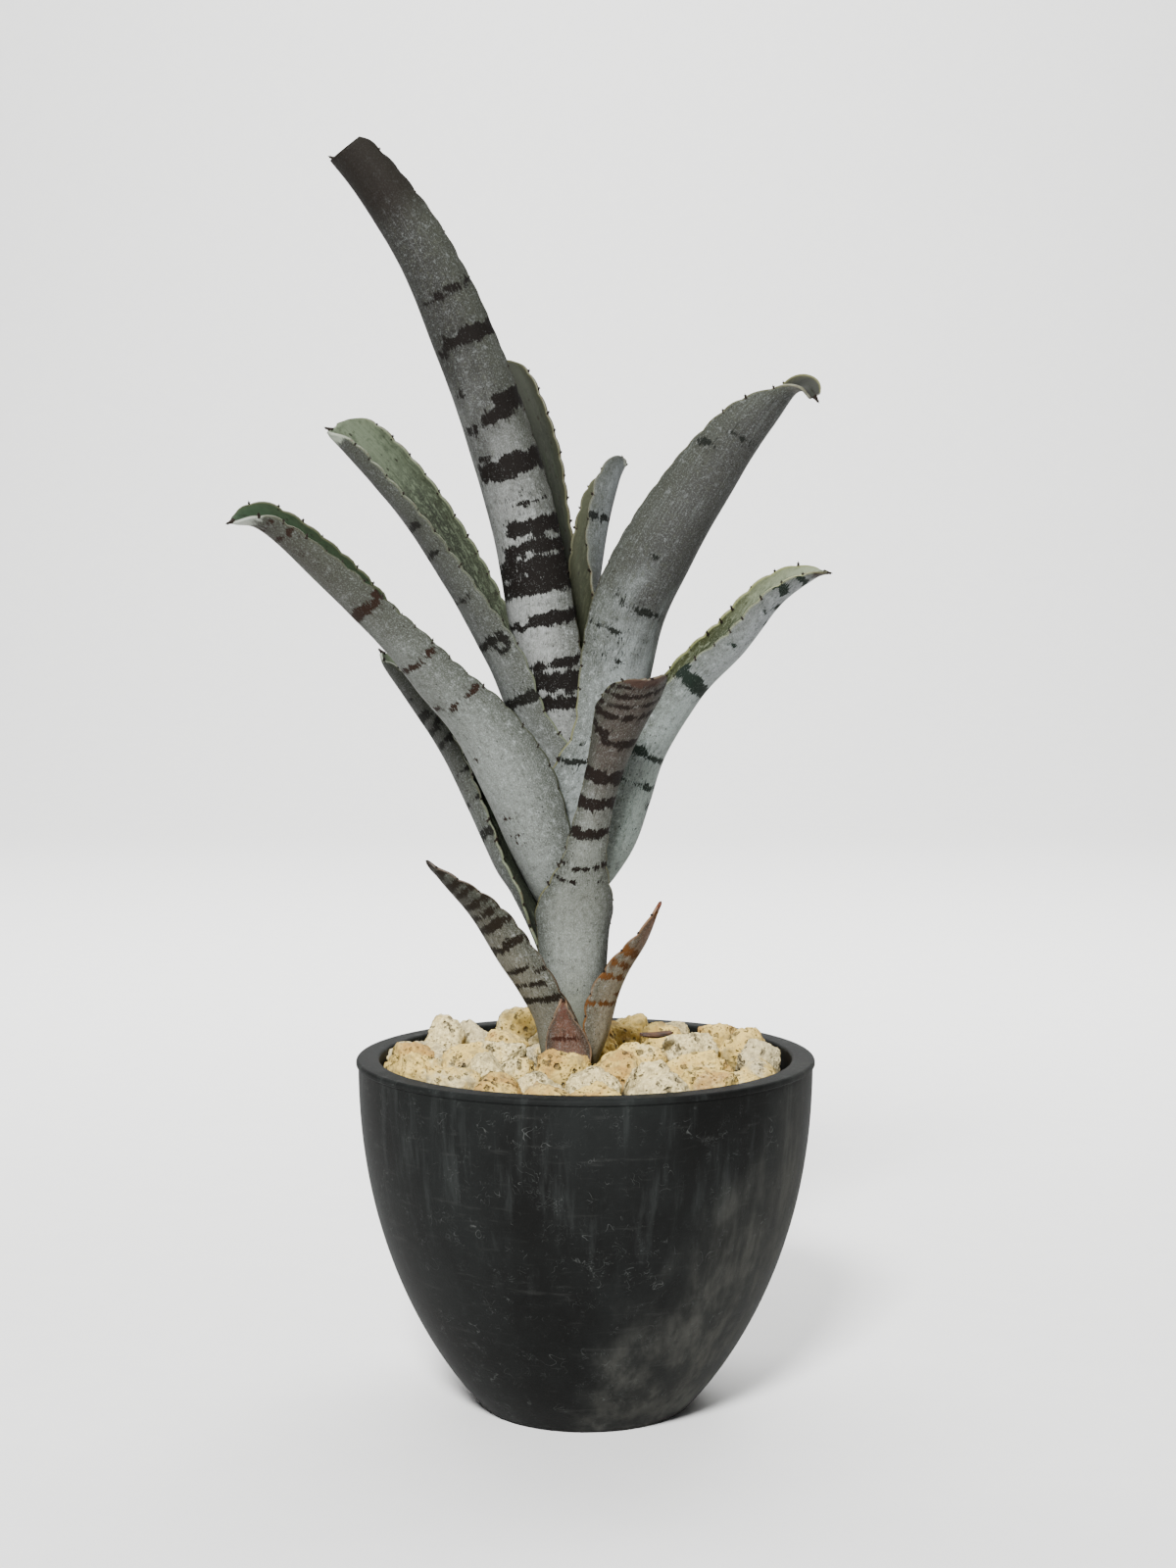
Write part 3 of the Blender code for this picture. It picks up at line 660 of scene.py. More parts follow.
# A blade's stations are (out, up, roll radius, half angle, turn), in mm from the stock's axis and
# the pot's rim, and in degrees. A tip is (share of the length, share of the width left, its side).
# A band is (share of the leaf's length, from and to across it, half thickness in mm, slope in mm).
LEAVES = (
    Leaf("leaf_tall", 195, 9, 108, 112,
         ((16, 124, 12.4, 106, 6), (20.3, 140, 12.0, 108, 22), (26, 170, 11.3, 116, 24),
          (34, 198, 11.0, 121, 20), (43, 224, 10.6, 121, 17), (55, 252, 9.8, 117, 16),
          (67, 272, 9.2, 108, 12), (77.6, 285.5, 8.8, 98, 8)),
         (0.020, 0.90, 0.0), SILVER,
         ((0.792, 0.30, 0.95, 0.2, 1), (0.783, 0.05, 0.85, 0.3, 1), (0.728, 0.55, 1.0, 2.5, 1),
          (0.726, 0.16, 0.40, 1.9, 0), (0.716, 0.0, 0.08, 1.2, 0), (0.660, 0.04, 0.16, 0.9, 0),
          (0.621, 0.36, 0.72, 1.9, 3), (0.634, 0.68, 1.0, 3.2, 1), (0.612, 0.0, 0.12, 1.6, 0),
          (0.556, 0.46, 0.98, 3.2, 0), (0.553, 0.06, 0.34, 3.2, -1), (0.572, 0.05, 0.14, 1.0, 0),
          (0.505, 0.2, 0.85, 0.6, 0), (0.520, 0.4, 0.8, -0.2, 0), (0.474, 0.25, 1.0, 2.4, 0),
          (0.448, 0.10, 1.0, 2.2, 1), (0.425, -0.6, 1.0, 2.4, 1),
          (0.400, -0.6, 1.0, 3.0, 1), (0.356, 0.35, 1.0, 2.2, 1), (0.350, 0.05, 0.50, 1.0, 0),
          (0.348, -0.2, 0.05, 1.5, 0), (0.296, 0.25, 0.90, 1.4, 2), (0.288, -0.1, 0.18, 1.8, 0),
          (0.274, 0.1, 0.82, 3.0, 0), (0.245, 0.1, 0.9, 2.2, 0)), point=2.0),
    Leaf("leaf_right", 332, 7, 72, 106,
         ((13.6, 84, 13.1, 104, 0), (18.2, 95, 15.3, 94, 0), (22.8, 108, 15.1, 84, 0),
          (31, 139, 13.2, 114, -4), (41, 158.6, 12.4, 126, -6), (52.7, 177.5, 11.4, 124, -3),
          (63, 193, 10.2, 114, 0), (72, 205, 8.8, 98, 0),
          (77, 211, 7.2, 86, 8), (80.5, 212.5, 5.6, 70, 16), (82.5, 210, 4.2, 56, 22)),
         (0.12, 0.50, 0.65), STEEL,
         ((0.950, -0.5, -0.1, -0.1, 0), (0.874, -0.60, -0.05, 0.45, -1), (0.842, -0.86, -0.66, 0.9, 0),
          (0.655, -0.5, -0.25, 0.2, 0), (0.572, -0.66, -0.02, 1.0, -2), (0.535, -0.90, -0.50, 0.5, -2),
          (0.525, -0.5, -0.15, -0.1, -1), (0.495, -0.78, -0.34, 0.9, -1), (0.331, -1.0, -0.42, 0.8, 0),
          (0.36, -0.8, -0.65, 0.1, 0))),
    Leaf("leaf_left_upper", 190, 8, 94, 98,
         ((19.6, 109, 11.8, 82, 0), (27.5, 128, 11.2, 96, -10), (38.6, 148.5, 10.2, 99, -24),
          (51.4, 169, 9.6, 99, -34), (65, 186, 9.4, 97, -40), (78.6, 201.4, 9.0, 88, -36)),
         (0.06, 0.30, 0.0), SAGE,
         ((0.772, 0.10, 0.75, 0.8, 2), (0.713, 0.10, 0.85, 0.8, 2), (0.617, 0.10, 0.75, 0.6, 2),
          (0.580, 0.1, 0.9, -0.2, 2), (0.527, 0.02, 0.85, 1.5, 2), (0.508, 0.7, 0.82, 1.0, 0),
          (0.415, 0.15, 0.90, 1.6, 2), (0.430, 0.3, 0.7, 0.2, 0), (0.395, 0.0, 0.35, 1.1, 0))),
    Leaf("leaf_left_lower", 208, 5, 46, 96,
         ((14.9, 56, 12.8, 80, 0), (21.8, 69, 13.2, 94, 6), (30.7, 87, 14.6, 98, 8),
          (40, 104, 13.0, 98, 4), (52, 118, 11.2, 100, -4), (65, 132.5, 10.0, 103, -14),
          (87.5, 154, 8.8, 103, -24), (105.5, 169, 7.4, 90, -24), (115, 171.5, 5.2, 62, -12)),
         (0.05, 0.16, 0.0), MOSS,
         ((0.955, 0.2, 0.8, 0.6, 1), (0.925, 0.3, 0.9, 0.8, 1), (0.888, 0.2, 0.6, 0.7, 1),
          (0.756, -0.3, 0.98, 1.9, 2), (0.637, -0.3, 0.96, 0.9, 2), (0.556, 0.04, 0.18, 0.9, 1),
          (0.546, 0.34, 0.48, 0.9, 1), (0.550, 0.72, 0.86, 1.0, 1), (0.455, 0.05, 0.11, 0.5, 0),
          (0.345, 0.08, 0.22, 0.4, 0), (0.315, 0.08, 0.30, 0.2, 0), (0.303, 0.14, 0.28, 0.6, 0))),
    Leaf("leaf_right_low", 352, 6, 50, 92,
         ((15, 60, 12.6, 72, 0), (21, 70, 13.0, 80, 0), (25.4, 83, 13.0, 92, 0),
          (30.5, 98, 12.2, 98, 2), (42, 117, 9.8, 108, 12), (56, 132, 8.4, 106, 20),
          (67.6, 147, 7.4, 98, 22), (78, 155, 5.8, 78, 18), (82, 157, 4.4, 54, 6)),
         (0.05, 0.16, 0.0), FROST,
         ((0.955, -1.0, -0.3, 1.1, 0), (0.915, -1.0, -0.72, 1.6, 0), (0.885, -0.45, -0.2, 1.0, 0),
          (0.845, -0.30, -0.02, 0.8, 1), (0.862, -0.7, -0.6, 0.5, 0), (0.770, -0.7, -0.6, 0.4, 0),
          (0.664, -0.92, 0.2, 2.3, -2), (0.505, -0.8, 0.2, 1.3, -1), (0.448, -0.9, 0.1, 0.9, -1),
          (0.410, -0.12, 0.05, 1.4, 0), (0.36, -0.7, -0.1, -0.1, 0), (0.27, -0.5, 0.2, -0.2, 0))),
    Leaf("leaf_front", 276, 3, 40, 69,
         ((15.4, 49, 13.9, 66, 0), (20.6, 58, 12.6, 48, 0), (25.6, 66, 9.2, 48, 0),
          (29.2, 74, 6.8, 62, 0), (32, 83, 5.8, 72, 0), (35.5, 94, 6.2, 80, 0), (39.5, 105, 7.8, 84, 0),
          (43.5, 113, 9.6, 82, 2), (47, 120, 10.0, 76, 2), (51, 124, 8.8, 60, 0)),
         (0.14, 0.34, 0.25), ROSE,
         ((0.975, -1, 1, 0.5, 2), (0.948, -1, 1, 0.7, 1), (0.920, -1, 1, 0.65, 0.5),
          (0.890, -1, 1, 1.1, 0), (0.850, -1.0, -0.45, 1.4, -4), (0.822, -0.45, 0.6, 1.0, -1),
          (0.735, -1, 1, 2.2, -1), (0.667, -1, 1, 2.0, -0.5), (0.592, -1, 1, 1.7, 0),
          (0.497, -0.35, 0.95, 1.0, 0), (0.503, -1.0, -0.8, 1.0, 0), (0.455, -0.8, -0.25, 0.45, 0),
          (0.447, 0.28, 0.7, 0.3, 2), (0.17, -0.5, 0.5, -0.2, 0)), sway=18.0, point=1.5),
    Leaf("leaf_left_back", 160, 4, 32, 40,
         ((14.5, 42, 12.4, 44, -6), (20, 52, 12.4, 64, -4), (26.4, 61, 11.6, 76, -6),
          (34.8, 79, 10.5, 84, -6), (44.5, 97, 10.0, 90, -2), (57.5, 115, 9.2, 90, -2),
          (66, 126, 7.6, 74, -4), (68, 131, 6.0, 56, -6)),
         (0.08, 0.30, 0.0), SAGE,
         ((0.80, 0.3, 0.8, 1.6, 1), (0.76, 0.4, 0.9, 1.2, 1), (0.72, 0.5, 0.9, 1.0, 1),
          (0.64, 0.4, 1.0, 0.7, 2), (0.57, 0.3, 1.0, 0.5, 2), (0.525, 0.3, 0.8, 0.3, 1),
          (0.49, 0.2, 1.0, 1.6, 1), (0.85, 0.2, 0.6, 0.7, 1))),
    Leaf("leaf_back", 105, 10, 120, 84,
         ((11.6, 132, 10.4, 56, -6), (13.8, 148, 10.4, 42, -8), (18.0, 174, 9.8, 42, -8),
          (22.5, 198, 9.4, 54, -12), (29, 220, 8.2, 58, -8), (33, 228, 6.8, 52, -4)),
         (0.06, 0.30, 0.0), SILVER,
         ((0.85, -1, 1, 1.0, 0), (0.72, -0.6, 1, 2.0, 1), (0.60, -1, 0.7, 1.4, 0), (0.50, -1, 1, 1.8, 0),
          (0.40, -0.8, 1, 1.2, 0), (0.30, -1, 1, 1.5, 0)), sway=16.0),
    Leaf("leaf_back_right", 55, 11, 132, 80,
         ((9.1, 150, 8.2, 72, -20), (12.8, 167, 8.6, 90, -38), (19.8, 185, 8.4, 88, -42),
          (26, 192, 6.2, 66, -36)),
         (0.10, 0.20, 0.0), DUSK,
         ((0.82, -1.0, 0.2, 0.8, 1), (0.61, -1, 0.4, 1.8, 0), (0.55, -1, 0.6, 1.4, 0),
          (0.42, -1, 1, 1.2, 0))),
    Leaf("leaf_small_left", 195, 1, 12, 86,
         ((18, 22, 14.0, 74, 2), (24, 31, 13.6, 71, 6), (33, 46, 12.4, 60, 10),
          (43, 57.5, 10.0, 42, 10), (48.5, 64.7, 6.0, 18, 10)),
         (0.08, 0.12, 0.0), OLIVE,
         ((0.335, -0.6, 1.0, 1.0, 2), (0.395, -0.6, 0.75, 0.9, 2), (0.45, 0.7, 0.95, 0.7, 1),
          (0.465, -0.2, 0.7, 0.8, 2), (0.565, -0.6, 0.9, 1.5, 2), (0.655, -0.6, 1.0, 1.4, 2),
          (0.715, -0.6, 1, 1.0, 1), (0.765, -1, 1, 1.3, 1), (0.82, -1, 1, 1.0, 1), (0.87, -1, 1, 1.2, 1),
          (0.93, -1, 1, 1.6, 1)), point=1.0),
    Leaf("leaf_small_right", 345, 2, -3, 70,
         ((11.6, 5, 9.6, 62, 0), (13.4, 12, 11.4, 64, 0), (15.4, 20, 12.4, 64, 0),
          (19, 28, 12.0, 58, 0), (25.5, 39, 10.4, 44, 0), (30, 50.8, 6.0, 18, 0)),
         (0.08, 0.12, 0.0), AMBER,
         ((0.43, -1, 0.5, 0.8, -1), (0.57, -1, 0.3, 0.7, -1), (0.64, -1, 0.5, 0.9, -1),
          (0.71, -1, 0.4, 1.5, -1), (0.48, -0.3, 0.2, 0.5, 0), (0.95, -1, 1, 1.0, 0)), point=1.0),
    Leaf("leaf_scale_front", 264, 0, 3, 38,
         ((13.8, 8, 12.0, 33, -2), (15.0, 14, 10.0, 22, -6), (16.4, 20.5, 6.0, 9, -10)),
         (0.25, 0.15, 0.0), RUST, ((0.55, -0.6, 0.4, 0.8, 0),), point=1.0),
)


def smooth_curve(stations, fine=12):
    """Points of a smooth curve that passes through every station."""
    padded = np.vstack((2 * stations[0] - stations[1], stations, 2 * stations[-1] - stations[-2]))
    points = []
    for index in range(len(stations) - 1):
        before, start, end, after = padded[index:index + 4]
        for step in range(fine):
            t = step / fine
            points.append(0.5 * (2 * start + (end - before) * t
                                 + (2 * before - 5 * start + 4 * end - after) * t ** 2
                                 + (3 * start - before - 3 * end + after) * t ** 3))
    points.append(stations[-1])
    return np.array(points)


def layer_radius(layer, height):
    """Outer radius of one sheath layer at a height above the rim."""
    curve = smooth_curve(np.column_stack((ROSETTE_HEIGHTS, ROSETTE_RADII)) * MM)
    return np.interp(height, curve[:, 0], curve[:, 1]) - layer * LEAF_LAYER


def stock_radius(rise):
    """Radius of the stock at a height above the rim."""
    share = min(max(rise / STEM_REACH, 0.0), 1.0)
    return STEM_RADIUS + (STEM_TOP_RADIUS - STEM_RADIUS) * share


def leaf_stations(leaf):
    """Stations (out, up, roll radius, half angle, turn) of a leaf, sheath then blade."""
    base = SHEATH_FOOT
    while layer_radius(leaf.layer, base) - LEAF_THICKNESS < stock_radius(base) + FIT_GAP:
        base += 0.5 * MM
    top = max(leaf.sheath_top * MM, base + SHEATH_LEAST)
    steps = max(2, round((top - base) / SHEATH_STEP))
    stations = []
    for step in range(steps + 1):
        height = base + (top - base) * step / steps
        radius = layer_radius(leaf.layer, height)
        stations.append((radius, height, radius, math.radians(leaf.sheath_wrap), 0.0))
    for out, up, roll, half, turn in leaf.blade:
        stations.append((out * MM, up * MM, roll * MM, math.radians(half), math.radians(turn)))
    return np.array(stations)


def leaf_rows(leaf, count):
    """Rows up a leaf: its stations, slopes, share of length, and distance in mm."""
    curve = smooth_curve(leaf_stations(leaf))
    run = np.concatenate(([0.0], np.cumsum(np.hypot(*np.diff(curve[:, :2], axis=0).T))))
    slopes = np.gradient(curve[:, :2], axis=0)
    slopes /= np.linalg.norm(slopes, axis=1)[:, None]
    fine = np.column_stack((curve, slopes, run / run[-1], run / MM))
    places = np.linspace(0.0, len(fine) - 1.0, count)
    return np.column_stack([np.interp(places, np.arange(len(fine)), column) for column in fine.T])


def tip_share(leaf, along):
    """Share of the full width left at a place along a leaf, 1 until the tip's start."""
    length, left, _ = leaf.tip
    beyond = max(0.0, (along - (1.0 - length)) / length)
    return left + (1.0 - left) * math.sqrt(max(0.0, 1.0 - beyond ** 2))


def leaf_point(leaf, row, across):
    """Point of the outer face, and the way out of the sheet there."""
    out, up, roll, half, turn, slope_out, slope_up, along, _ = row
    outward = Vector((math.cos(leaf.heading), math.sin(leaf.heading), 0.0))
    sideways = Vector((-math.sin(leaf.heading), math.cos(leaf.heading), 0.0))
    upward = Vector((0.0, 0.0, 1.0))
    freed = min(1.0, max(0.0, (out - roll) / roll))
    normal = (outward * slope_up - upward * slope_out * freed).normalized()
    start = leaf.sheath_top * MM
    risen = max(0.0, (up - start) / (leaf.blade[-1][1] * MM - start))
    keel = outward * out + upward * up + sideways * (leaf.sway * MM * risen ** 2)
    share = tip_share(leaf, along)
    angle = turn + half * (across * share + leaf.tip[2] * (1.0 - share))
    centre = keel - normal * roll
    away = normal * math.cos(angle) + sideways * math.sin(angle)
    return centre + away * roll + Vector((PLANT_OFFSET_X, 0.0, POT_HEIGHT)), away


def band_depth(leaf, along, distance, across, width):
    """How deep inside its nearest band a place lies, in mm; less than 0 outside every band."""
    length = distance / max(along, 0.001)
    deepest = -BAND_REACH
    for place, start, end, half, slope in leaf.bands:
        middle = place * length + slope * (across - (start + end) / 2)
        ends = min(across - start, end - across) * width / 2 + half
        deepest = max(deepest, min(half - abs(distance - middle), ends))
    return deepest


def add_spine(bm, foot, away, lean, size):
    """One small spine: a thin cone that leans towards the tip, with its foot in the margin."""
    cone = bmesh.ops.create_cone(bm, cap_ends=True, segments=5, radius1=size * SPINE_WIDTH,
                                 radius2=size * SPINE_POINT, depth=size)
    turn = (away + lean * SPINE_LEAN).normalized().to_track_quat("Z", "Y").to_matrix()
    for vert in cone["verts"]:
        vert.co = foot + turn @ (vert.co + Vector((0.0, 0.0, size * SPINE_SINK)))
    return len(cone["verts"])


def add_margin_spines(bm, leaf, rows, first):
    """Spines up both margins of a leaf and a point at its end; gives where each one's points lie."""
    small = leaf.layer < SMALL_LAYERS
    places = []
    for side in (-1.0, 1.0):
        distance = first
        while distance < rows[-1][8] * SPINE_END:
            index = int(np.searchsorted(rows[:, 8], distance))
            row = rows[min(index, LEAF_ROWS)]
            point, away = leaf_point(leaf, row, side * SPINE_INSET)
            inside, _ = leaf_point(leaf, row, side * 0.90)
            above, _ = leaf_point(leaf, rows[min(index + 2, LEAF_ROWS)], side)
            size = SPINE_LENGTH * rng.uniform(0.8, 1.25) * (SMALL_SPINE if small else 1.0)
            foot = point - away * LEAF_THICKNESS * 0.4
            count = add_spine(bm, foot, (point - inside).normalized(), (above - point).normalized(), size)
            places += [(side, row[7], distance)] * count
            distance += SPINE_PITCH * (SMALL_PITCH if small else 1.0)
    end, away = leaf_point(leaf, rows[-1], 0.0)
    before, _ = leaf_point(leaf, rows[-3], 0.0)
    foot = end - away * LEAF_THICKNESS * 0.5
    count = add_spine(bm, foot, (end - before).normalized(), away, leaf.point * MM)
    return places + [(0.0, 1.0, rows[-1][8])] * count


def build_leaf(number, leaf, finishes):
    """One leaf: a grid rolled as a sheet, thickened, with spines on both margins and a point."""
    rows = leaf_rows(leaf, LEAF_ROWS + 1)
    bm = bmesh.new()
    bmesh.ops.create_grid(bm, x_segments=LEAF_ROWS, y_segments=LEAF_COLUMNS, size=1.0)
    sheet, place, bands = [], [], []
    spine_start = leaf.sheath_top - rows[0][1] / MM + SPINE_CLEAR
    for vert in bm.verts:
        row = rows[round((vert.co.x + 1.0) * 0.5 * LEAF_ROWS)]
        _, up, roll, half, _, _, _, along, distance = row
        across = -vert.co.y
        width = 2.0 * half * roll * tip_share(leaf, along) / MM
        free = min(1.0, max(0.0, (up / MM - leaf.sheath_top) / FREE_RUN))
        wave = abs(math.sin(math.pi * (distance - spine_start) / SPINE_PITCH)) ** SCALLOP_POWER
        outer = max(0.0, abs(across) - SCALLOP_FROM) / (1.0 - SCALLOP_FROM)
        scallop = (wave - 0.5) * SCALLOP * free * outer
        point, away = leaf_point(leaf, row, across * (1.0 + scallop * 2.0 / max(width, LEAST_WIDTH)))
        ripple = noise.noise(Vector((across * 2.2, distance * 0.045, number * 9.1))) * RIPPLE
        dimple = noise.noise(Vector((across * width * 0.11, distance * 0.12, number * 3.7))) * DIMPLE
        vert.co = point + away * (ripple * free + dimple) * MM
        sheet.append((across * width / 2, distance, number * SHEET_APART))
        place.append((across, along, (1.0 - abs(across)) * width / 2))
        bands.append(band_depth(leaf, along, distance, across, width))
    for side, along, distance in add_margin_spines(bm, leaf, rows, spine_start):
        sheet.append((SPINE_SHEET, distance, number * SHEET_APART))
        place.append((side, along, -1.0))
        bands.append(-BAND_REACH)
    piece = new_piece(leaf.name + "_blade", bm, finishes, [leaf.name], LEAF_EDGE_ANGLE)
    write_layer(piece, "sheet", sheet)
    write_layer(piece, "place", place)
    write_layer(piece, "bands", bands)
    shell = piece.modifiers.new("thickness", "SOLIDIFY")
    shell.thickness = SHEET_THICKNESS
    shell.offset = -1.0
    shell.material_offset = 1
    shell.material_offset_rim = 2


def outer_finish(tones):
    """Silver scales over grey-green, in fine flecks and streaks, under ragged dark bands, with painted
    shade towards both margins.
    """
    material, shader, start = new_finish(tones.name + "_outer", Specular_IOR_Level=0.09)
    sheet = read_layer(start, "sheet")
    across, share, edge = read_layer(start, "place").parts()
    bands = read_layer(start, "bands", "Fac")
    comb = sheet.stretch(2.1, 0.42).cloud(1.0, 2.0, 0.6)
    grain = sheet.stretch(2.3, 1.7).cloud(1.0, 5.0, 0.8)
    wide = sheet.stretch(0.11, 0.055).cloud(1.0, 3.0, 0.6)
    mottle = sheet.stretch(0.55, 0.40).cloud(1.0, 5.0, 0.75)
    wave = sheet.stretch(0.30, 0.20).cloud(1.0, 2.0, 0.5)
    fleck = sheet.stretch(2.0, 1.2).cloud(1.0, 3.0, 0.65, 0.4)
    streak = sheet.stretch(1.6, 0.05).cloud(1.0, 4.0, 0.7)
    ragged = (comb - 0.5) * 3.4 + (mottle - 0.5) * 3.4 + (grain - 0.5) * 2.2 + (wave - 0.5) * 4.5
    band = (bands + ragged).step(-0.08, 0.14)
    worn = grain.step(0.55, 0.62) * mottle.step(0.50, 0.57)
    band = band * (1.0 - worn * 0.85)
    halo = (bands + (wave - 0.5) * 6.0).step(-4.5, -0.3) * comb.step(0.56, 0.62) * grain.step(0.48, 0.54)
    band = band + halo * (1.0 - band) * 0.9
    age = (share + (wide - 0.5) * 0.30).step(*tones.aged)
    scale = age.tint(tones.pale, tones.dark)
    # painted shade: darker towards both margins, where the rolled leaf turns away from the light
    sides = (abs(across) + (mottle - 0.5) * 0.5).step(0.35, 0.95)
    scale = (sides * 0.72).tint(scale, SIDE_SHADE)
    scale = (mottle.step(0.50, 0.66) * 0.50).tint(scale, MOTTLE_GREY)
    scale = (mottle.step(0.47, 0.32) * (0.40 - 0.25 * age)).tint(scale, PALE_SCALE)
    scale = (streak.step(0.50, 0.70) * (0.28 - 0.14 * age)).tint(scale, tones.pale)
    scale = (streak.step(0.48, 0.34) * 0.22).tint(scale, STREAK_DARK)
    scale = (fleck.step(0.56, 0.62) * 0.55 * tones.flecks).tint(scale, FLECK_DARK)
    scale = (grain.step(0.52, 0.62) * (0.40 - 0.22 * age)).tint(scale, PALE_SCALE)
    scale = (grain.step(0.47, 0.38) * 0.36).tint(scale, GRAIN_DARK)
    dot = sheet.stretch(1.0, 0.8).cells(0.62).step(0.20, 0.10) * wide.step(0.48, 0.56)
    scale = (dot * 0.75).tint(scale, DOT_BLACK)
    low = (share + (mottle - 0.5) * 0.3).step(0.24, 0.02)
    scale = (low * 0.55).tint(scale, SHEATH_OLIVE)
    edge_tint = edge.step(0.8, 0.2) * (0.30 + 0.70 * share.step(0.55, 0.35))
    scale = edge_tint.tint(scale, tones.margin)
    colour = (band * 0.995).tint(scale, tones.band)
    tip = (share + (mottle - 0.5) * 0.05).step(tones.tip_from, 0.5 + tones.tip_from * 0.5)
    colour = (tip * 0.85).tint(colour, tones.tip)
    colour = edge.step(-0.2, -0.6).tint(colour, SPINE_BROWN)
    rough = 0.56 + grain * 0.20 + band * 0.10
    height = grain * 0.7 + streak * 0.5 + comb * 0.25 + mottle * 0.4 - band * 0.5
    set_surface(start, shader, colour, rough, height, 0.30 * MM, 0.85)
    return material


def inner_finish(tones):
    """The inner face: green, with painted shade darker down the tube, mottled darker, dusted and cracked
    with pale scale.
    """
    material, shader, start = new_finish(tones.name + "_inner", Specular_IOR_Level=0.09)
    sheet = read_layer(start, "sheet")
    across, share, edge = read_layer(start, "place").parts()
    grain = sheet.stretch(2.2, 1.6).cloud(1.0, 5.0, 0.8)
    mottle = sheet.stretch(0.35, 0.22).cloud(1.0, 5.0, 0.7)
    streak = sheet.stretch(1.3, 0.06).cloud(1.0, 4.0, 0.7)
    crust = sheet.stretch(0.9, 0.35).cloud(1.0, 5.0, 0.75, 0.5)
    # painted shade: the inside of the tube darkens towards the sheath, where the rolled leaf shades it
    deep = (share + (mottle - 0.5) * 0.40).step(1.0, 0.74)
    green = deep.tint(tones.inner, tones.inner_dark)
    green = (abs(across).step(0.65, 0.98) * 0.20).tint(green, tones.margin)
    green = (mottle.step(0.5, 0.64) * 0.50).tint(green, tones.inner_dark)
    green = (streak.step(0.50, 0.68) * 0.35).tint(green, tones.inner)
    green = (streak.step(0.47, 0.36) * 0.35).tint(green, INNER_STREAK)
    green = (crust.step(0.52, 0.60) * 0.55 * share.step(0.3, 0.7)).tint(green, tones.inner)
    green = (grain.step(0.52, 0.62) * 0.40).tint(green, tones.inner)
    pock = sheet.stretch(1.0, 0.45).cells(0.50).step(0.24, 0.12) * mottle.step(0.47, 0.55)
    green = (pock * 0.85).tint(green, POCK_BLACK)
    green = (edge.step(0.7, 0.2) * 0.8).tint(green, tones.margin)
    green = edge.step(-0.2, -0.6).tint(green, SPINE_BROWN)
    height = grain * 0.6 + streak * 0.6 + crust * 0.5
    set_surface(start, shader, green, 0.56 + grain * 0.2, height, 0.30 * MM, 0.85)
    return material


def margin_finish(tones):
    """The thin horny margin: pale yellow-green, and brown and dry in places."""
    material, shader, start = new_finish(tones.name + "_margin", Specular_IOR_Level=0.45)
    grain = read_layer(start, "sheet").stretch(1.0, 0.9).cloud(1.0, 3.0, 0.6)
    share = read_layer(start, "place").parts()[1]
    edge_colour = (grain.step(0.5, 0.62) * 0.6).tint(tones.margin, MARGIN_BROWN)
    edge_colour = (share.step(0.96, 1.0) * 0.8).tint(edge_colour, tones.tip)
    set_surface(start, shader, edge_colour, 0.45 + grain * 0.2, grain, 0.2 * MM, 0.6)
    return material


finishes = {}
for number, leaf in enumerate(LEAVES):
    tones = leaf.tones
    if tones.name not in finishes:
        finishes[tones.name] = (outer_finish(tones), inner_finish(tones), margin_finish(tones))
    build_leaf(number, leaf, finishes[tones.name])

# ---------------------------------------------------------------------------------------------
# The scrap: a bit of dry brown leaf that fell on the stones. It is curled and has a torn edge,
# and it keeps the shape of its solid.

SCRAP_DARK = (0.010, 0.005, 0.003)
SCRAP_BROWN = (0.060, 0.027, 0.012)


def scrap_finish():
    """Dry brown leaf with darker veins."""
    material, shader, start = new_finish("dry_brown", Specular_IOR_Level=0.3)
    place = frame_place(start)
    vein = place.stretch(0.3, 1.0, 1.0).cloud(700.0, 3.0, 0.6)
    brown = vein.step(0.35, 0.65).tint(SCRAP_DARK, SCRAP_BROWN)
    set_surface(start, shader, brown, 0.6 + vein * 0.2, vein, 0.5 * MM, 0.9)
    return material


refinish("dry_leaf_scrap", scrap_finish())

# ---------------------------------------------------------------------------------------------
# The studio: a pale floor that curves up behind. A small soft light stands in front and above, a
# weak one on the right and one behind the plant, and a wide one lights the wall. The camera is at
# sitting eye height and looks slightly down.

FLOOR_FRONT = -3.0
FLOOR_BACK = 2.0
FLOOR_ROUND = 1.2
FLOOR_HALF_WIDTH = 4.0
WALL_TOP = 4.0
CORNER_STEPS = 18
PAPER_GREY = (0.74, 0.74, 0.73)
PAPER_PALE = (0.78, 0.78, 0.77)
AIR_COLOUR = (0.93, 0.95, 1.0, 1.0)
AIR_STRENGTH = 0.02
LENS_LENGTH = 56.05
SENSOR_WIDTH = 36.0
CAMERA_PLACE = (0.8 * MM, -793 * MM, 259.5 * MM)
CAMERA_TILT = 86.0


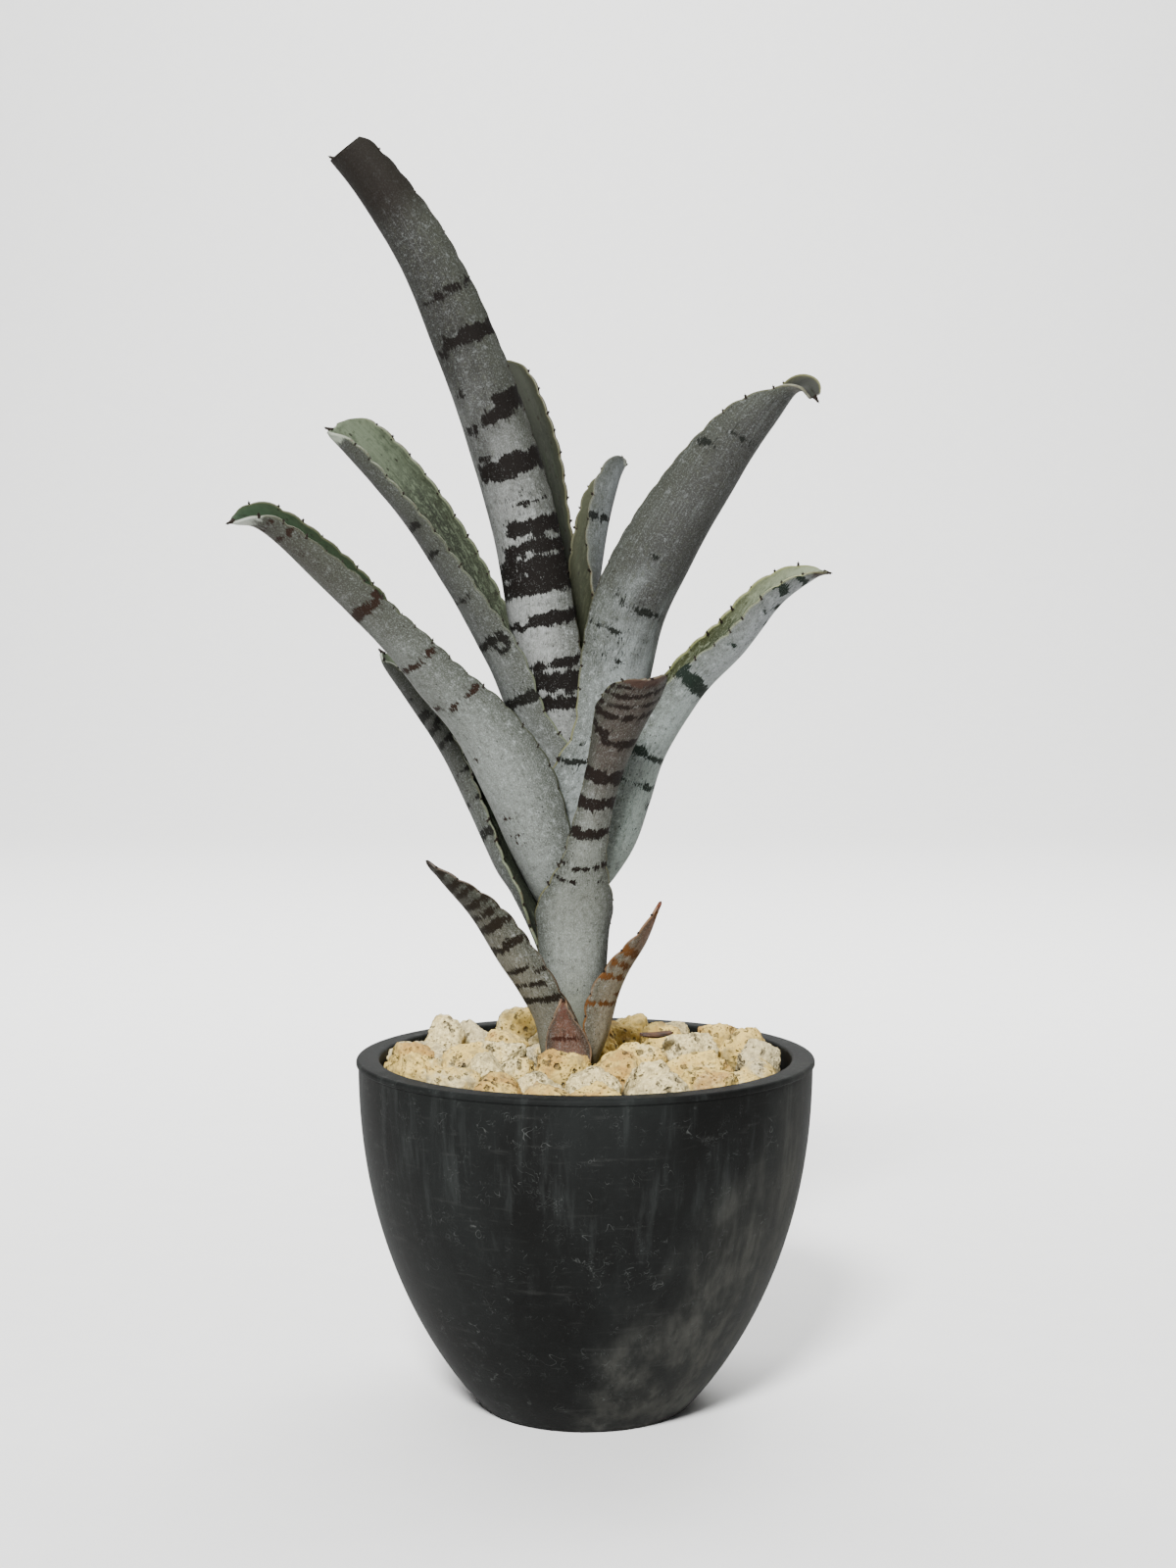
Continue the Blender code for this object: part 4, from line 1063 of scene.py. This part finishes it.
def studio_floor():
    """A pale sweep: floor, a rounded corner and a wall."""
    bm = bmesh.new()
    points = [(FLOOR_FRONT, 0.0), (FLOOR_BACK, 0.0)]
    points += arc((FLOOR_BACK, FLOOR_ROUND), FLOOR_ROUND, -90, 0, CORNER_STEPS)[1:]
    points.append((FLOOR_BACK + FLOOR_ROUND, WALL_TOP))
    verts = [bm.verts.new((-FLOOR_HALF_WIDTH, y, z)) for y, z in points]
    edges = [bm.edges.new(pair) for pair in zip(verts, verts[1:])]
    grown = bmesh.ops.extrude_edge_only(bm, edges=edges)["geom"]
    moved = [item for item in grown if isinstance(item, bmesh.types.BMVert)]
    bmesh.ops.translate(bm, verts=moved, vec=(2.0 * FLOOR_HALF_WIDTH, 0.0, 0.0))
    mesh = bpy.data.meshes.new("studio_floor")
    bm.to_mesh(mesh)
    bm.free()
    mesh.shade_smooth()
    material, shader, start = new_finish("studio_paper", Specular_IOR_Level=0.2)
    place = frame_place(start)
    tooth = place.cloud(60.0, 3.0, 0.6)
    paper = tooth.tint(PAPER_GREY, PAPER_PALE)
    set_surface(start, shader, paper, 0.85 + tooth * 0.05, tooth, 0.1 * MM, 0.2)
    mesh.materials.append(material)
    floor = bpy.data.objects.new("studio_floor", mesh)
    bpy.context.scene.collection.objects.link(floor)


def soft_light(name, place, aim, size, power):
    """A square soft light that faces a point."""
    lamp = bpy.data.lights.new(name, "AREA")
    lamp.size = size
    lamp.energy = power
    item = bpy.data.objects.new(name, lamp)
    item.location = place
    item.rotation_euler = (Vector(aim) - Vector(place)).to_track_quat("-Z", "Y").to_euler()
    bpy.context.scene.collection.objects.link(item)


studio_floor()
soft_light("key_light", (-0.22, -1.12, 0.98), (0.0, 0.0, 0.2), 0.26, 62.0)
soft_light("fill_light", (1.2, -0.7, 0.5), (0.0, 0.0, 0.2), 0.6, 1.0)
soft_light("back_light", (0.4, 0.7, 1.2), (0.0, 0.0, 0.25), 0.5, 4.0)
soft_light("wall_light", (0.0, 0.9, 1.9), (0.0, 3.0, 0.3), 2.0, 190.0)

world = bpy.data.worlds.new("studio_air")
world.use_nodes = True
world.node_tree.nodes["Background"].inputs["Color"].default_value = AIR_COLOUR
world.node_tree.nodes["Background"].inputs["Strength"].default_value = AIR_STRENGTH
bpy.context.scene.world = world

lens = bpy.data.cameras.new("camera")
lens.lens = LENS_LENGTH
lens.sensor_width = SENSOR_WIDTH
camera = bpy.data.objects.new("camera", lens)
camera.location = CAMERA_PLACE
camera.rotation_euler = (math.radians(CAMERA_TILT), 0.0, 0.0)
bpy.context.scene.collection.objects.link(camera)
bpy.context.scene.camera = camera
